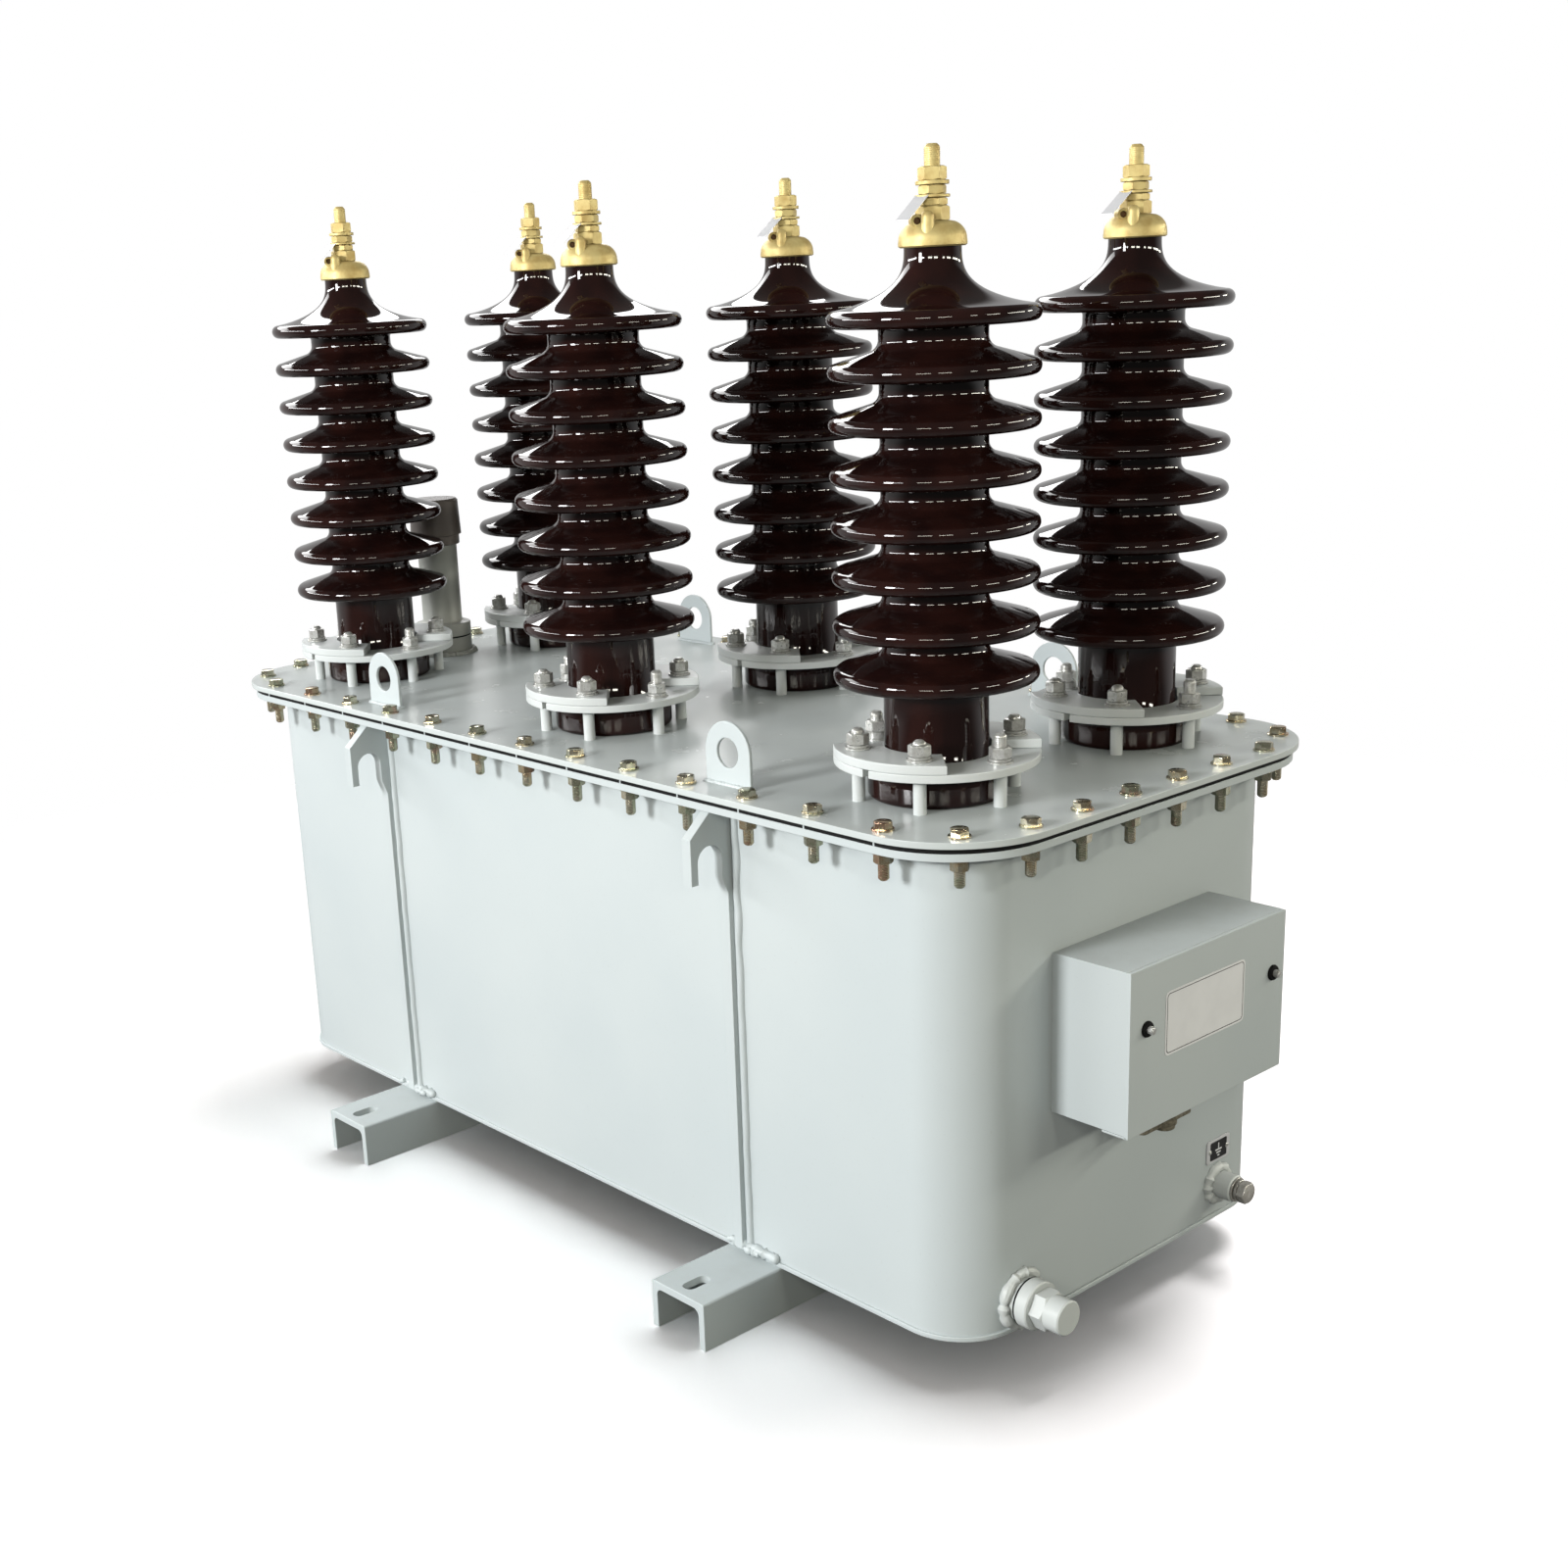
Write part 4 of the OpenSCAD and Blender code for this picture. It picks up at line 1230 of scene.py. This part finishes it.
piece("filler_seal", placed(here, rubber_ring), rubber)
low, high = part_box("filler_tube")
z0, z3 = low.z - lid_top, high.z - lid_top
z1 = z0 + filler_flange_t
tube = [(0, z0), (filler_flange_r - filler_edge, z0), (filler_flange_r, z0 + filler_edge),
        (filler_flange_r, z1 - 1.5 * mm), (filler_flange_r - 1.5 * mm, z1),
        (filler_tube_r + filler_fillet, z1),
        (filler_tube_r + filler_fillet / 3, z1 + filler_fillet / 3),
        (filler_tube_r, z1 + filler_fillet), (filler_tube_r, z3), (0, z3)]
piece("filler_pipe", placed(here, turned(tube, 64)), pipe_enamel,
      ["filler_tube"])
low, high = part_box("filler_cap")
z0, z3 = low.z - lid_top, high.z - lid_top
z1 = z0 + filler_rim_z
cap = [(0, z0), (filler_cap_r - filler_edge, z0), (filler_cap_r, z0 + filler_edge),
       (filler_cap_r, z1 - filler_edge), (filler_rim_r, z1), (filler_rim_r, z1 + 2 * mm),
       (filler_rim_r - 2.1 * mm, z3 - 3 * mm), (filler_rim_r - 5 * mm, z3), (0, z3)]
piece("filler_lid", placed(here, turned(cap, 64)), cap_enamel,
      ["filler_cap"])


# -------------------------------------------------------- camera and studio
# The part stands on a plain pale floor, under a soft ceiling lamp and two
# windows. A row of low, wide lamps from the camera's left round to its right
# gives the glaze its broken highlights.
view_azimuth = math.radians(50.129)
view_elevation = math.radians(16.473)
view_roll = math.radians(-2.867)
view_distance = 1.937897
view_lens = 45.3580875
view_shift = (0.08087125, 0.04666625)
aim = Vector((0.496619, -0.520069, 0.637))

back = Vector((math.sin(view_azimuth) * math.cos(view_elevation),
               -math.cos(view_azimuth) * math.cos(view_elevation),
               math.sin(view_elevation)))
right = (-back).cross(Vector((0, 0, 1))).normalized()
up = right.cross(-back)
rolled_right = right * math.cos(view_roll) + up * math.sin(view_roll)
rolled_up = up * math.cos(view_roll) - right * math.sin(view_roll)
camera = bpy.data.objects.new("camera", bpy.data.cameras.new("camera"))
bpy.context.scene.collection.objects.link(camera)
camera.data.sensor_width = 36
camera.data.lens = view_lens
camera.data.shift_x, camera.data.shift_y = view_shift
turned_to = Matrix((rolled_right, rolled_up, back)).transposed().to_4x4()
camera.matrix_world = Matrix.Translation(aim + back * view_distance) @ turned_to
bpy.context.scene.camera = camera
bpy.context.scene.view_settings.view_transform = "Standard"

floor_r = 2.7
floor_fade = (1.5, 2.6)
floor_shade = (0.5, 0.5, 0.49, 1)
floor_seen = (4.98, 4.84, 4.86, 1)
floor_mirrored = 0.06
room_colour = (1, 0.985, 0.95, 1)
room_light = 0.09
paper_light = 1.0


def seen_directly(finish, mirrored):
    """1 for the camera, also through clear parts, and mirrored in a gloss."""
    path = finish.tree.nodes.new("ShaderNodeLightPath")
    eye, gloss, through = (Wire(finish, path.outputs["Is %s Ray" % way])
                           for way in ("Camera", "Glossy", "Transmission"))
    return eye + gloss * mirrored + through


floor_finish = Finish("studio_floor")
reach = floor_finish.node("ShaderNodeVectorMath", {"operation": "LENGTH"},
                          {0: floor_finish.place()}, output="Value")
colour = floor_finish.mix(seen_directly(floor_finish, floor_mirrored), floor_shade,
                          floor_seen)
paint = floor_finish.node("ShaderNodeBsdfDiffuse", sockets={"Color": colour})
clear = floor_finish.node("ShaderNodeBsdfTransparent")
faded = floor_finish.node("ShaderNodeMixShader",
                          sockets={0: reach.between(*floor_fade), 1: paint, 2: clear})
floor_finish.node("ShaderNodeOutputMaterial", sockets={"Surface": faded})
floor = solid("studio_floor_sheet", [turned([(0, 0), (floor_r, 0)], 64)])
floor.data.materials.append(floor_finish.material)

world = bpy.data.worlds.new("studio")
bpy.context.scene.world = world
sky = Finish("studio_sky", world)
way = sky.node("ShaderNodeTexCoord", output="Generated")
height = sky.node("ShaderNodeSeparateXYZ", sockets={0: way}, output="Z")
towards = sky.node("ShaderNodeVectorMath", {"operation": "DOT_PRODUCT"},
                   {0: way, 1: tuple(back)}, output="Value")
behind = 0.5 * towards.between(0.3, -0.3) * height.between(0.45, 0.30)
room = sky.node("ShaderNodeBackground",
                sockets={"Color": room_colour, "Strength": room_light})
paper = sky.node("ShaderNodeBackground",
                 sockets={"Color": (1, 1, 1, 1), "Strength": paper_light})
around = sky.node("ShaderNodeMixShader",
                  sockets={0: seen_directly(sky, behind), 1: room, 2: paper})
sky.node("ShaderNodeOutputWorld", sockets={"Surface": around})

lamp_aim = Vector((0, 0, 0.6))
row_elevation = 17
row_distance = 4.5
row_tall = 0.18
row_level = 0.105
row_warm = (0.9, 0.875, 0.76)
row_spans = ((-133, 46), (-85, 18), (-54, 13), (-34, 12), (-7, 6), (13, 14), (43, 24),
             (67, 9))


def lamp(name, azimuth, elevation, distance, wide, tall, level, colour=(1, 1, 1)):
    """A soft lamp that lights a facing white card to the given level."""
    data = bpy.data.lights.new(name, "AREA")
    data.shape = "RECTANGLE"
    data.size = wide
    data.size_y = tall
    data.energy = level * math.pi ** 2 * distance ** 2
    data.color = colour
    light = bpy.data.objects.new(name, data)
    bpy.context.scene.collection.objects.link(light)
    a, e = math.radians(azimuth), math.radians(elevation)
    way = Vector((math.cos(a) * math.cos(e), math.sin(a) * math.cos(e), math.sin(e)))
    light.location = way * distance + lamp_aim
    light.rotation_euler = way.to_track_quat("Z", "Y").to_euler()
    light.visible_camera = False
    return light


ceiling = lamp("ceiling", 80, 69, 7.0, wide=4.4, tall=3.4, level=0.29)
ceiling.visible_glossy = False
lamps = [lamp("front_window", -92, 17, 5.0, wide=0.9, tall=1.2, level=0.66,
              colour=(1, 1, 1.01)),
         lamp("left_window", 172, 30, 5.0, wide=7.5, tall=1.3, level=0.75)]
for azimuth, angle in row_spans:
    wide = 2 * row_distance * math.tan(math.radians(angle / 2))
    lamps.append(lamp("row_%d" % azimuth, azimuth, row_elevation, row_distance, wide,
                      row_tall, row_level * wide, row_warm if azimuth > -60 else (1, 1, 1)))
    lamps[-1].data.cycles.max_bounces = 0
spared = bpy.data.collections.new("spared_floor")
spared.objects.link(floor)
spared.collection_objects[0].light_linking.link_state = "EXCLUDE"
for light in lamps:
    light.light_linking.receiver_collection = spared
